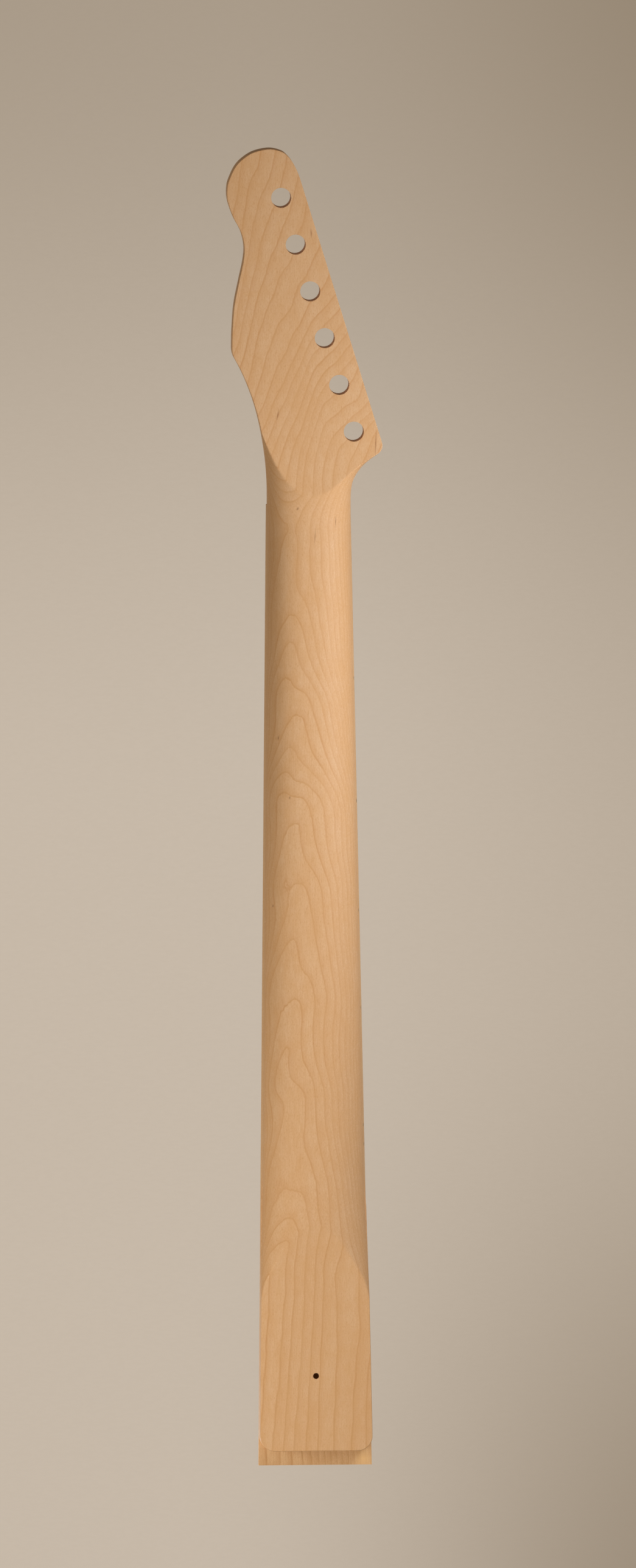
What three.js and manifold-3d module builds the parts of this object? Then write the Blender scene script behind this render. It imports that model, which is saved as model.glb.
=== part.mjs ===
// Bolt-on electric guitar neck in bare maple, with six tuner holes in line.
// Millimetres. +Z runs along the neck towards the headstock, the back of the neck faces -Y and
// the fingerboard faces +Y. Seen from the back with the headstock up, +X is to the right, which
// is the bass side, where the tuner holes and the side dots are.
// The origin is on the flat back of the heel, where the body carries the neck.

import * as THREE from 'three';
import { mergeVertices } from 'three/addons/utils/BufferGeometryUtils.js';
import Module from 'manifold-3d';

const wasm = await Module();
wasm.setup();

// Scale and fingerboard
const scaleLength = 647.7;
const fretCount = 22;
const boardPastLastFret = 12.55;
const boardOverhang = 8.05;
const boardThickness = 6.35;
const boardRadius = 305;
const nutWidth = 42.1;
const boardEndWidth = 56.3;
const sideSlant = 8;
const nutSideSlant = 2;
const slantFadeHeel = 42;
const slantFadeNut = 26;

// Heel
const heelThickness = 19.05;
const heelCornerRadius = 7.5;
const bearingRise = 25;
const squareHeelLength = 84;
const jigHoleDiameter = 3;
const jigHoleDepth = 8;
const jigHoleRise = 37.4;
const heelSweepRadius = 190;
const heelSweepRise = 143.8;
const heelEdgeDive = 0.5;

// Shaft
const shaftDepthNut = 14.4;
const shaftDepthHeel = 16.4;
const profileRise = 3.5;
const profileExponent = 2.3;

// Headstock
const headstockLength = 178.2;
const headstockWidth = 76;
const headstockThickness = 14.35;
const headstockSetback = 1.5;
const shelfInset = 0.2;
const shelfLength = 5.6;
const shelfDrop = 0.3;
const faceSweepRadius = 12;
const edgeRound = 0.5;
const headSweepStart = 14;
const headSweepSoftness = 27;
const headSweepSlope = 0.5;
const headSweepLean = 0.28;
const headSweepDive = 0.28;
const trebleSpread = 5.2;
const trebleSpreadRun = 45;
const bassSpread = 15.3;
const bassSpreadRun = 27;

// Tuner holes, in a row beside the straight bass edge of the headstock
const tunerHoleDiameter = 10;
const tunerHoleCount = 6;
const tunerEdgeDistance = 11.8;
const firstTunerFromCorner = 12.9;
const lastTunerFromTop = 6.6;

// Frets
const fretWidth = 2.4;
const fretHeight = 1.1;
const fretBevel = 0.9;
const fretBevelShare = 0.2;
const tangThickness = 0.5;
const tangDepth = 1.9;
const slotWidth = 0.6;
const slotDepth = 2.3;
const fretSeat = 0.05;

// Position dots
const dotFrets = [3, 5, 7, 9, 12, 15, 17, 19, 21];
const doubleDotFret = 12;
const faceDotDiameter = 6.35;
const faceDotDepth = 2;
const doubleFaceDotSpacing = 26;
const sideDotDiameter = 2;
const sideDotDepth = 2.5;
const doubleSideDotSpacing = 9.5;
const dotClearance = 0.05;
const dotInset = 0.03;

// Truss rod, which bends either way, in its channel under the fingerboard
const channelWidth = 6.5;
const channelDepth = 9.6;
const channelFromHeelEnd = 28.2;
const trussRodDiameter = 4.5;
const trussBoreClearance = 0.1;
const trussAxisHeight = 3.1;
const trussBlockWidth = 6;
const trussBlockHeight = 6.3;
const trussBlockLength = 12;
const trussBlockFromNut = 14;
const trussEndGap = 2;
const trussBarWidth = 6;
const trussBarThickness = 2.8;
const adjusterDiameter = 7.6;
const adjusterLength = 12;
const adjusterFromNut = 1;
const adjusterChamfer = 0.5;
const adjusterSocketWidth = 4;
const adjusterSocketDepth = 6;
const adjusterBoreDepth = 3;
const accessClearance = 0.5;
const accessFloorClearance = 0.35;
const accessReach = 22;
const accessBehind = 13;

// How finely curves are cut
const overrun = 2;
const outlineSteps = 3;
const cornerSteps = 6;
const holeSides = 32;
const smallHoleSides = 12;
const dotSides = 18;
const rodSides = 24;
const profileSteps = 34;
const boardArcSteps = 12;
const beadSteps = 6;
const fretSpanSteps = 6;
const sweepSteps = 14;

// Places that follow from the sizes
const heelEndZ = -bearingRise;
const boardEndZ = heelEndZ - boardOverhang;
const boardLength = fretDistance(fretCount) + boardPastLastFret;
const nutZ = boardEndZ + boardLength;
const tipZ = nutZ + headstockLength;
const glueY = heelThickness;
const boardTopY = glueY + boardThickness;
const headBackY = headstockSetback;
const headFaceY = headBackY + headstockThickness;
const channelFloorY = glueY - channelDepth;
const channelEndZ = heelEndZ + channelFromHeelEnd;
const trussAxisY = channelFloorY + trussAxisHeight;
const heelSweepZ = heelEndZ + heelSweepRise;
const squareHeelZ = heelEndZ + squareHeelLength;
const sweepFloor = glueY + overrun;

// Outline of the headstock, as shares of its width across and of its length from the nut
const trebleFlankShares = [
  [-0.275, 0.052], [-0.286, 0.126], [-0.311, 0.2], [-0.345, 0.266],
  [-0.387, 0.322], [-0.437, 0.374], [-0.487, 0.415],
];
const hipCornerShares = [[-0.505, 0.429], [-0.503, 0.447]];
const bulbShares = [
  [-0.5, 0.49], [-0.486, 0.563], [-0.454, 0.63], [-0.424, 0.689], [-0.418, 0.729], [-0.44, 0.77],
  [-0.488, 0.81], [-0.525, 0.858], [-0.526, 0.896], [-0.506, 0.923], [-0.474, 0.95],
  [-0.429, 0.971], [-0.354, 0.991], [-0.25, 1], [-0.166, 0.992], [-0.121, 0.976],
  [-0.091, 0.958], [-0.067, 0.937],
];
const bassEdgeTopShare = [-0.05, 0.918];
const bassCornerShare = [0.489, 0.158];
const throatShares = [[0.371, 0.12], [0.32, 0.095], [0.286, 0.066], [0.275, 0.035]];
const cornerReachShare = 0.022;

const maple = new THREE.MeshStandardMaterial({ color: 0xd9ad78, roughness: 0.6, flatShading: true });
const boardMaple = new THREE.MeshStandardMaterial({ color: 0xdfb684, roughness: 0.55, flatShading: true });
const nickelSilver = new THREE.MeshStandardMaterial({ color: 0xc9c5bb, roughness: 0.3, metalness: 1 });
const blackPlastic = new THREE.MeshStandardMaterial({ color: 0x1c1a18, roughness: 0.4 });
const darkSteel = new THREE.MeshStandardMaterial({ color: 0x6e6f72, roughness: 0.45, metalness: 1 });

const neck = new THREE.Group();

function addPiece(name, geometry, material) {
  const piece = new THREE.Mesh(geometry, material);
  piece.name = name;
  neck.add(piece);
}

// A closed geometry with shared corners and no collapsed triangles, as a solid for joins and cuts
function toSolid(geometry) {
  const bare = geometry.clone();
  bare.deleteAttribute('normal');
  bare.deleteAttribute('uv');
  const merged = mergeVertices(bare);
  const corners = merged.index.array;
  const kept = [];
  for (let i = 0; i < corners.length; i += 3) {
    const [a, b, c] = corners.slice(i, i + 3);
    if (a !== b && b !== c && c !== a) {
      kept.push(a, b, c);
    }
  }
  const vertProperties = new Float32Array(merged.attributes.position.array);
  return new wasm.Manifold(new wasm.Mesh({ numProp: 3, vertProperties, triVerts: new Uint32Array(kept) }));
}

function toGeometry(solid) {
  const mesh = solid.getMesh();
  const geometry = new THREE.BufferGeometry();
  geometry.setAttribute('position', new THREE.BufferAttribute(mesh.vertProperties, 3));
  geometry.setIndex(new THREE.BufferAttribute(mesh.triVerts, 1));
  geometry.computeVertexNormals();
  return geometry;
}

// A closed skin through rings of points, each ring counterclockwise seen from the next one's side.
// flatten gives a point's two coordinates in the plane of the end rings, which close the skin.
function loft(rings, flatten) {
  const positions = [];
  const triangle = (a, b, c) => positions.push(...a, ...b, ...c);
  for (let i = 0; i + 1 < rings.length; i++) {
    const [low, high] = [rings[i], rings[i + 1]];
    for (let j = 0; j < low.length; j++) {
      const k = (j + 1) % low.length;
      triangle(low[j], low[k], high[k]);
      triangle(low[j], high[k], high[j]);
    }
  }
  const first = rings[0];
  const last = rings[rings.length - 1];
  for (const [a, b, c] of THREE.ShapeUtils.triangulateShape(first.map(flatten), [])) {
    triangle(first[c], first[b], first[a]);
  }
  for (const [a, b, c] of THREE.ShapeUtils.triangulateShape(last.map(flatten), [])) {
    triangle(last[a], last[b], last[c]);
  }
  const geometry = new THREE.BufferGeometry();
  geometry.setAttribute('position', new THREE.Float32BufferAttribute(positions, 3));
  return geometry;
}

// A shape drawn across the neck (x) and along it (z), as a plate from one depth to another
function plate(shape, fromY, toY, round = 0) {
  const geometry = new THREE.ExtrudeGeometry(shape, {
    depth: toY - fromY - 2 * round,
    curveSegments: outlineSteps,
    bevelEnabled: round > 0,
    bevelThickness: round,
    bevelSize: round,
    bevelOffset: -round,
    bevelSegments: 2,
  });
  geometry.rotateX(Math.PI / 2);
  geometry.translate(0, toY - round, 0);
  return geometry;
}

function box(fromX, toX, fromY, toY, fromZ, toZ) {
  const geometry = new THREE.BoxGeometry(toX - fromX, toY - fromY, toZ - fromZ);
  geometry.translate((fromX + toX) / 2, (fromY + toY) / 2, (fromZ + toZ) / 2);
  return geometry;
}

function spread(from, to, steps) {
  return Array.from({ length: steps + 1 }, (_, i) => from + ((to - from) * i) / steps);
}

function smoothShare(from, to, value) {
  const share = THREE.MathUtils.clamp((value - from) / (to - from), 0, 1);
  return share * share * (3 - 2 * share);
}

// Half the board's width, at the top of its sides
function boardHalfAt(z) {
  const share = Math.min((z - boardEndZ) / boardLength, 1);
  return THREE.MathUtils.lerp(boardEndWidth, nutWidth, share) / 2;
}

// How far the board's face lies under its crown at a distance from the centre
function crownDrop(x) {
  return boardRadius - Math.sqrt(boardRadius ** 2 - x ** 2);
}

// The board's sides lean out towards its face along the shaft, and stand square at the heel
function slantAt(z) {
  const fromHeel = smoothShare(squareHeelZ, squareHeelZ + slantFadeHeel, z);
  const fromNut = smoothShare(nutZ, nutZ - slantFadeNut, z);
  return THREE.MathUtils.degToRad(fromHeel * THREE.MathUtils.lerp(nutSideSlant, sideSlant, fromNut));
}

function sideHeightAt(z) {
  return boardThickness - crownDrop(boardHalfAt(z));
}

// Half the width of the glue line between the board and the maple
function glueHalfAt(z) {
  return boardHalfAt(z) - sideHeightAt(z) * Math.tan(slantAt(z));
}

// The back falls away from the shaft in a large arc to the flat of the heel, deeper at its sides
function heelDrop(across, z) {
  const run = THREE.MathUtils.clamp(heelSweepZ - z, 0, heelSweepRadius);
  const sweep = heelSweepRadius - Math.sqrt(heelSweepRadius ** 2 - run ** 2);
  return Math.min(sweep * (1 + heelEdgeDive * across ** 4), sweepFloor);
}

// The same towards the headstock, steeper on the bass side, where the headstock spreads sooner
function headDrop(across, z) {
  const run = Math.max(z - nutZ + headSweepStart, 0);
  const sweep = headSweepSlope * (Math.hypot(run, headSweepSoftness) - headSweepSoftness);
  return Math.min(sweep * (1 + headSweepLean * across + headSweepDive * across ** 2), sweepFloor);
}

function spreadAt(side, z) {
  const rise = Math.max(z - nutZ, 0);
  return side < 0
    ? trebleSpread * Math.min(rise / trebleSpreadRun, 1) ** 2
    : bassSpread * Math.min(rise / bassSpreadRun, 1) ** 3;
}

// What stands past the shaft's own round back, for the outline to cut
function wingAt(z) {
  const overHeel = overrun * (1 - smoothShare(squareHeelZ, heelSweepZ, z));
  const overHead = Math.max(z - nutZ, 0) / 2;
  return overHeel + overHead;
}

// One ring of the neck's back: a rounded C under the glue line, with square flanks above its sweeps
function neckRing(z) {
  const toHeel = THREE.MathUtils.clamp((nutZ - z) / (nutZ - heelSweepZ), 0, 1);
  const depth = THREE.MathUtils.lerp(shaftDepthNut, shaftDepthHeel, toHeel) + profileRise;
  const glueHalf = glueHalfAt(z);
  const lowest = Math.asin((profileRise / depth) ** (profileExponent / 2));
  const fullHalf = glueHalf / Math.cos(lowest) ** (2 / profileExponent);
  const points = spread(Math.PI - lowest, lowest, profileSteps).map((angle) => {
    const across = (fullHalf / glueHalf) * Math.sign(Math.cos(angle))
      * Math.abs(Math.cos(angle)) ** (2 / profileExponent);
    const x = across * (glueHalf + spreadAt(across, z));
    const y = glueY + profileRise - depth * Math.sin(angle) ** (2 / profileExponent);
    return [x, y - heelDrop(across, z) - headDrop(across, z), z];
  });
  const [treble, bass] = [points[0], points[points.length - 1]];
  const wing = wingAt(z);
  points.push([bass[0] + wing, bass[1], z], [bass[0] + wing, sweepFloor, z]);
  points.unshift([treble[0] - wing, sweepFloor, z], [treble[0] - wing, treble[1], z]);
  return points;
}

function outlinePoint([across, along]) {
  return new THREE.Vector2(across * headstockWidth, nutZ + along * headstockLength);
}

const bassCorner = outlinePoint(bassCornerShare);
const bassEdgeTop = outlinePoint(bassEdgeTopShare);
const bassEdgeWay = bassEdgeTop.clone().sub(bassCorner).normalize();

// The headstock seen from the front, with a stub that widens down past the shaft
function headstockOutline() {
  const shelfHalf = nutWidth / 2 - shelfInset;
  const stubHalf = boardEndWidth / 2;
  const stubZ = nutZ - headstockLength / 2;
  const throatTop = outlinePoint(throatShares[0]);
  const reach = cornerReachShare * headstockLength;
  const cornerFrom = bassCorner.clone().addScaledVector(throatTop.clone().sub(bassCorner).normalize(), reach);
  const cornerTo = bassCorner.clone().addScaledVector(bassEdgeWay, reach);
  const outline = new THREE.Shape();
  outline.moveTo(-stubHalf, stubZ);
  outline.lineTo(stubHalf, stubZ);
  outline.lineTo(shelfHalf, nutZ);
  outline.splineThru([...throatShares.map(outlinePoint).reverse(), cornerFrom]);
  outline.quadraticCurveTo(bassCorner.x, bassCorner.y, cornerTo.x, cornerTo.y);
  outline.lineTo(bassEdgeTop.x, bassEdgeTop.y);
  outline.splineThru([...bulbShares.map(outlinePoint).reverse(), outlinePoint(hipCornerShares[1])]);
  const hip = outlinePoint(hipCornerShares[0]);
  const hipEnd = outlinePoint(trebleFlankShares[trebleFlankShares.length - 1]);
  outline.quadraticCurveTo(hip.x, hip.y, hipEnd.x, hipEnd.y);
  const flank = trebleFlankShares.slice(0, -1).map(outlinePoint).reverse();
  outline.splineThru([...flank, new THREE.Vector2(-shelfHalf, nutZ)]);
  return outline;
}

// The heel and the shaft seen from the front: tapered sides and two round corners at the end
function heelOutline() {
  const topZ = nutZ - headstockLength / 4;
  const endHalf = boardHalfAt(heelEndZ);
  const cornerHalf = boardHalfAt(heelEndZ + heelCornerRadius);
  const topHalf = boardHalfAt(topZ);
  const radius = heelCornerRadius;
  const outline = new THREE.Shape();
  outline.moveTo(topHalf, topZ);
  outline.lineTo(-topHalf, topZ);
  outline.lineTo(-cornerHalf, heelEndZ + radius);
  for (const angle of spread(Math.PI, 1.5 * Math.PI, cornerSteps)) {
    outline.lineTo(-endHalf + radius * (1 + Math.cos(angle)), heelEndZ + radius * (1 + Math.sin(angle)));
  }
  for (const angle of spread(1.5 * Math.PI, 2 * Math.PI, cornerSteps)) {
    outline.lineTo(endHalf - radius * (1 - Math.cos(angle)), heelEndZ + radius * (1 + Math.sin(angle)));
  }
  outline.lineTo(cornerHalf, heelEndZ + radius);
  return outline;
}

// A slot with round ends, drawn across and along the neck
function slotOutline(width, fromZ, toZ) {
  const outline = new THREE.Shape();
  outline.absarc(0, toZ - width / 2, width / 2, 0, Math.PI);
  outline.absarc(0, fromZ + width / 2, width / 2, Math.PI, 2 * Math.PI);
  return outline;
}

// Everything in front of the glue line, the nut's shelf and the face of the headstock
function frontCutter() {
  const shelfEndZ = nutZ + shelfLength;
  const shelfY = glueY - shelfDrop;
  const drop = shelfY - headFaceY;
  const sweep = Math.acos(1 - drop / faceSweepRadius);
  const faceZ = shelfEndZ + faceSweepRadius * Math.sin(sweep);
  const cutTop = glueY + boardThickness + overrun;
  const side = new THREE.Shape();
  side.moveTo(boardEndZ - overrun, glueY);
  side.lineTo(nutZ, glueY);
  side.lineTo(nutZ, shelfY);
  side.lineTo(shelfEndZ, shelfY);
  for (const angle of spread(sweep, 0, cornerSteps)) {
    side.lineTo(faceZ - faceSweepRadius * Math.sin(angle), headFaceY + faceSweepRadius * (1 - Math.cos(angle)));
  }
  side.lineTo(tipZ + overrun, headFaceY);
  side.lineTo(tipZ + overrun, cutTop);
  side.lineTo(boardEndZ - overrun, cutTop);
  const geometry = new THREE.ExtrudeGeometry(side, { depth: 2 * headstockWidth, bevelEnabled: false });
  geometry.rotateY(-Math.PI / 2);
  geometry.translate(headstockWidth, 0, 0);
  return geometry;
}

function tunerHolePlace(index) {
  const row = bassEdgeTop.distanceTo(bassCorner) - firstTunerFromCorner - lastTunerFromTop;
  const along = firstTunerFromCorner + (row * index) / (tunerHoleCount - 1);
  const inward = new THREE.Vector2(-bassEdgeWay.y, bassEdgeWay.x);
  return bassCorner.clone().addScaledVector(bassEdgeWay, along).addScaledVector(inward, tunerEdgeDistance);
}

function tunerHole(index) {
  const radius = tunerHoleDiameter / 2;
  const place = tunerHolePlace(index);
  const geometry = new THREE.CylinderGeometry(radius, radius, 2 * glueY, holeSides);
  geometry.translate(place.x, headBackY + headstockThickness / 2, place.y);
  return geometry;
}

function jigHole() {
  const radius = jigHoleDiameter / 2;
  const geometry = new THREE.CylinderGeometry(radius, radius, jigHoleDepth + overrun, smallHoleSides);
  geometry.translate(0, (jigHoleDepth - overrun) / 2, heelEndZ + jigHoleRise);
  return geometry;
}

function neckBlank() {
  const ringPlaces = [
    heelEndZ - overrun,
    heelEndZ,
    ...spread(squareHeelZ - heelCornerRadius, heelSweepZ, sweepSteps),
    ...spread(heelSweepZ + slantFadeHeel, nutZ - slantFadeNut - headSweepStart, 2),
    ...spread(nutZ - slantFadeNut, nutZ, 5),
    ...spread(nutZ, nutZ + trebleSpreadRun, 2 * sweepSteps).slice(1),
    tipZ + overrun,
  ];
  const back = toSolid(loft(ringPlaces.map(neckRing), ([x, y]) => new THREE.Vector2(x, y)));
  const headPlate = toSolid(plate(headstockOutline(), headBackY, sweepFloor + edgeRound, edgeRound));
  const heelPlate = toSolid(plate(heelOutline(), 0, sweepFloor + edgeRound, edgeRound));
  const accessWidth = adjusterDiameter + 2 * accessClearance;
  const accessFloorY = trussAxisY - adjusterDiameter / 2 - accessFloorClearance;
  const channel = slotOutline(channelWidth, channelEndZ, nutZ - accessBehind + channelWidth);
  const access = slotOutline(accessWidth, nutZ - accessBehind - accessWidth / 2, nutZ + accessReach);
  let blank = headPlate.add(heelPlate).intersect(back);
  blank = blank.subtract(toSolid(frontCutter()));
  blank = blank.subtract(toSolid(plate(channel, channelFloorY, boardTopY)));
  blank = blank.subtract(toSolid(plate(access, accessFloorY, boardTopY)));
  blank = blank.subtract(toSolid(jigHole()));
  for (let i = 0; i < tunerHoleCount; i++) {
    blank = blank.subtract(toSolid(tunerHole(i)));
  }
  return toGeometry(blank);
}

function boardRing(z) {
  const half = boardHalfAt(z);
  const glueHalf = glueHalfAt(z);
  const face = spread(half, -half, boardArcSteps).map((x) => [x, boardTopY - crownDrop(x), z]);
  return [[-glueHalf, glueY, z], [glueHalf, glueY, z], ...face];
}

// Each fret stands a twelfth of an octave further up the scale
function fretDistance(number) {
  return scaleLength * (1 - 2 ** (-number / 12));
}

function fretZ(number) {
  return nutZ - fretDistance(number);
}

function dotZ(number) {
  return (fretZ(number) + fretZ(number - 1)) / 2;
}

function fretSlot(number) {
  const z = fretZ(number);
  const half = boardHalfAt(z);
  const floorY = boardTopY - crownDrop(half) - slotDepth;
  const reach = half + overrun;
  return box(-reach, reach, floorY, boardTopY + overrun, z - slotWidth / 2, z + slotWidth / 2);
}

// A round inlay let into the board's face, square to the face's curve where it lies
function faceDot(x, z, clearance) {
  const radius = faceDotDiameter / 2 - dotClearance + clearance;
  const inset = clearance > 0 ? -overrun : dotInset;
  const height = faceDotDepth + clearance - inset;
  const geometry = new THREE.CylinderGeometry(radius, radius, height, dotSides);
  geometry.translate(0, boardRadius - inset - height / 2, 0);
  geometry.rotateZ(-Math.asin(x / boardRadius));
  geometry.translate(0, boardTopY - boardRadius, z);
  return geometry;
}

// A small round inlay in the leaning side of the board, at the middle of its height
function sideDot(z, clearance) {
  const radius = sideDotDiameter / 2 - dotClearance + clearance;
  const inset = clearance > 0 ? -overrun : dotInset;
  const length = sideDotDepth + clearance - inset;
  const geometry = new THREE.CylinderGeometry(radius, radius, length, smallHoleSides);
  geometry.translate(0, -inset - length / 2, 0);
  geometry.rotateZ(-Math.PI / 2 - slantAt(z));
  geometry.translate((boardHalfAt(z) + glueHalfAt(z)) / 2, glueY + sideHeightAt(z) / 2, z);
  return geometry;
}

function faceDotPlaces() {
  return dotFrets.flatMap((number) => {
    const z = dotZ(number);
    const label = String(number).padStart(2, '0');
    const x = doubleFaceDotSpacing / 2;
    return number === doubleDotFret
      ? [{ name: `${label}_treble`, x: -x, z }, { name: `${label}_bass`, x, z }]
      : [{ name: label, x: 0, z }];
  });
}

function sideDotPlaces() {
  return dotFrets.flatMap((number) => {
    const z = dotZ(number);
    const label = String(number).padStart(2, '0');
    const apart = doubleSideDotSpacing / 2;
    return number === doubleDotFret
      ? [{ name: `${label}_upper`, z: z + apart }, { name: `${label}_lower`, z: z - apart }]
      : [{ name: label, z }];
  });
}

function fingerboard() {
  const ringPlaces = [
    boardEndZ,
    ...spread(squareHeelZ, squareHeelZ + slantFadeHeel, 5),
    ...spread(nutZ - slantFadeNut, nutZ, 5),
  ];
  let board = toSolid(loft(ringPlaces.map(boardRing), ([x, y]) => new THREE.Vector2(x, y)));
  for (let number = 1; number <= fretCount; number++) {
    board = board.subtract(toSolid(fretSlot(number)));
  }
  for (const { x, z } of faceDotPlaces()) {
    board = board.subtract(toSolid(faceDot(x, z, dotClearance)));
  }
  for (const { z } of sideDotPlaces()) {
    board = board.subtract(toSolid(sideDot(z, dotClearance)));
  }
  return toGeometry(board);
}

// A T-shaped fret bent to the board's curve, its crown bevelled down at both ends
function fret(number) {
  const z = fretZ(number);
  const half = boardHalfAt(z);
  const lean = Math.tan(slantAt(z));
  const places = [-half, ...spread(fretBevel - half, half - fretBevel, fretSpanSteps), half];
  const rings = places.map((x) => {
    const crown = fretHeight * (Math.abs(x) < half ? 1 : fretBevelShare);
    const baseY = boardTopY - crownDrop(x) + fretSeat;
    const bead = spread(0, Math.PI, beadSteps).map((angle) => [
      x,
      baseY + crown * Math.sin(angle),
      z - (fretWidth / 2) * Math.cos(angle),
    ]);
    const tang = [[baseY, 1], [baseY - tangDepth, 1], [baseY - tangDepth, -1], [baseY, -1]];
    const inward = Math.abs(x) < half ? 0 : (tangDepth * lean) / half;
    const tangPoints = tang.map(([y, side]) => [
      y < baseY ? x * (1 - inward) : x,
      y,
      z + (side * tangThickness) / 2,
    ]);
    return [...bead, ...tangPoints];
  });
  return loft(rings, ([, y, along]) => new THREE.Vector2(y, along));
}

function trussRod() {
  const fromZ = channelEndZ + channelWidth / 2 + trussEndGap;
  const toZ = nutZ + adjusterFromNut - adjusterLength + adjusterBoreDepth;
  const radius = trussRodDiameter / 2;
  const geometry = new THREE.CylinderGeometry(radius, radius, toZ - fromZ, rodSides);
  geometry.rotateX(Math.PI / 2);
  geometry.translate(0, trussAxisY, (fromZ + toZ) / 2);
  return geometry;
}

// The long block at each end of the rod, bored for it and lying on the channel's floor
function trussBlock(fromZ) {
  const half = trussBlockWidth / 2;
  const block = box(-half, half, channelFloorY, channelFloorY + trussBlockHeight, fromZ, fromZ + trussBlockLength);
  const radius = trussRodDiameter / 2 + trussBoreClearance;
  const bore = new THREE.CylinderGeometry(radius, radius, trussBlockLength + 2 * overrun, rodSides);
  bore.rotateX(Math.PI / 2);
  bore.translate(0, trussAxisY, fromZ + trussBlockLength / 2);
  return toGeometry(toSolid(block).subtract(toSolid(bore)));
}

// The barrel that turns the rod: bored for it behind, and with a six-sided socket in front
function trussAdjuster() {
  const radius = adjusterDiameter / 2;
  const boreRadius = trussRodDiameter / 2 + trussBoreClearance;
  const profile = [
    [0, adjusterBoreDepth],
    [boreRadius, adjusterBoreDepth],
    [boreRadius, 0],
    [radius - adjusterChamfer, 0],
    [radius, adjusterChamfer],
    [radius, adjusterLength - adjusterChamfer],
    [radius - adjusterChamfer, adjusterLength],
    [0, adjusterLength],
  ].map(([x, y]) => new THREE.Vector2(x, y));
  const barrel = new THREE.LatheGeometry(profile, rodSides);
  const socketRadius = adjusterSocketWidth / Math.sqrt(3);
  const socket = new THREE.CylinderGeometry(socketRadius, socketRadius, adjusterSocketDepth + overrun, 6);
  socket.translate(0, adjusterLength + (overrun - adjusterSocketDepth) / 2, 0);
  const geometry = toGeometry(toSolid(barrel).subtract(toSolid(socket)));
  geometry.rotateX(Math.PI / 2);
  geometry.translate(0, trussAxisY, nutZ + adjusterFromNut - adjusterLength);
  return geometry;
}

addPiece('neck_blank', neckBlank(), maple);
addPiece('fingerboard', fingerboard(), boardMaple);

for (let number = 1; number <= fretCount; number++) {
  addPiece(`fret_${String(number).padStart(2, '0')}`, fret(number), nickelSilver);
}
for (const { name, x, z } of faceDotPlaces()) {
  addPiece(`face_dot_${name}`, faceDot(x, z, 0), blackPlastic);
}
for (const { name, z } of sideDotPlaces()) {
  addPiece(`side_dot_${name}`, sideDot(z, 0), blackPlastic);
}

const heelBlockZ = channelEndZ + channelWidth / 2 + trussEndGap;
const nutBlockZ = nutZ - trussBlockFromNut - trussBlockLength;
const barY = channelFloorY + trussBlockHeight;
const barEndZ = nutBlockZ + trussBlockLength;
const barHalf = trussBarWidth / 2;
addPiece('truss_rod', trussRod(), darkSteel);
addPiece('truss_block_heel', trussBlock(heelBlockZ), darkSteel);
addPiece('truss_block_nut', trussBlock(nutBlockZ), darkSteel);
addPiece('truss_bar', box(-barHalf, barHalf, barY, barY + trussBarThickness, heelBlockZ, barEndZ), darkSteel);
addPiece('truss_adjuster', trussAdjuster(), darkSteel);

export default neck;
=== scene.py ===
"""Shapes and finishes a bolt-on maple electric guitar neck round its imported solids.

Everything is in metres, in the frame of the solids: +Z along the neck towards the headstock,
-Y out of its back, +X towards the bass side. Lengths are written in millimetres times MM.
"""

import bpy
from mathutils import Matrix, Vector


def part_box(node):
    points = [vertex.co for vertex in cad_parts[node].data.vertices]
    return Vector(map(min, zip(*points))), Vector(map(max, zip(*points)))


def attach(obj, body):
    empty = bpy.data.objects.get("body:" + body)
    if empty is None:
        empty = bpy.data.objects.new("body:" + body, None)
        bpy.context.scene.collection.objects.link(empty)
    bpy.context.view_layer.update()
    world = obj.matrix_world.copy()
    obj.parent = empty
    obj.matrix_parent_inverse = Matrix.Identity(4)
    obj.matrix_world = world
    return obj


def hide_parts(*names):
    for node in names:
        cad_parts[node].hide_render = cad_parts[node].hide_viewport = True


bl_info = {
    "name": "Maple guitar neck",
    "version": (1, 0, 0),
    "blender": (4, 5, 0),
    "location": "3D View > Sidebar > Guitar neck",
    "description": "Shapes, finishes and stages a bolt-on maple electric guitar neck",
    "category": "Object",
}

import math

import bmesh
import bpy
import numpy as np
from mathutils import Matrix, Vector

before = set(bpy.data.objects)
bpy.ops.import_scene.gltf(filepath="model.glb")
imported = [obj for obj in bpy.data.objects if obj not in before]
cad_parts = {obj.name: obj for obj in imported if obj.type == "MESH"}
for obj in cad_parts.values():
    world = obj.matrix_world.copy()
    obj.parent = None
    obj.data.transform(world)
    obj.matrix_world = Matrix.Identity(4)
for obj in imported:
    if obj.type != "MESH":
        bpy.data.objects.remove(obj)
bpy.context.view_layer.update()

MM = 0.001

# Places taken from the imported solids
BOARD_LOW, BOARD_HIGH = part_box("fingerboard")
BLANK_LOW, BLANK_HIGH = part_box("neck_blank")
NUT_Z = BOARD_HIGH.z
BOARD_END_Z = BOARD_LOW.z
BOARD_LENGTH = NUT_Z - BOARD_END_Z
GLUE_Y = BOARD_LOW.y
BOARD_TOP_Y = BOARD_HIGH.y
BOARD_THICKNESS = BOARD_TOP_Y - GLUE_Y
BOARD_END_WIDTH = BOARD_HIGH.x - BOARD_LOW.x
HEEL_END_Z = BLANK_LOW.z
TIP_Z = BLANK_HIGH.z

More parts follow.
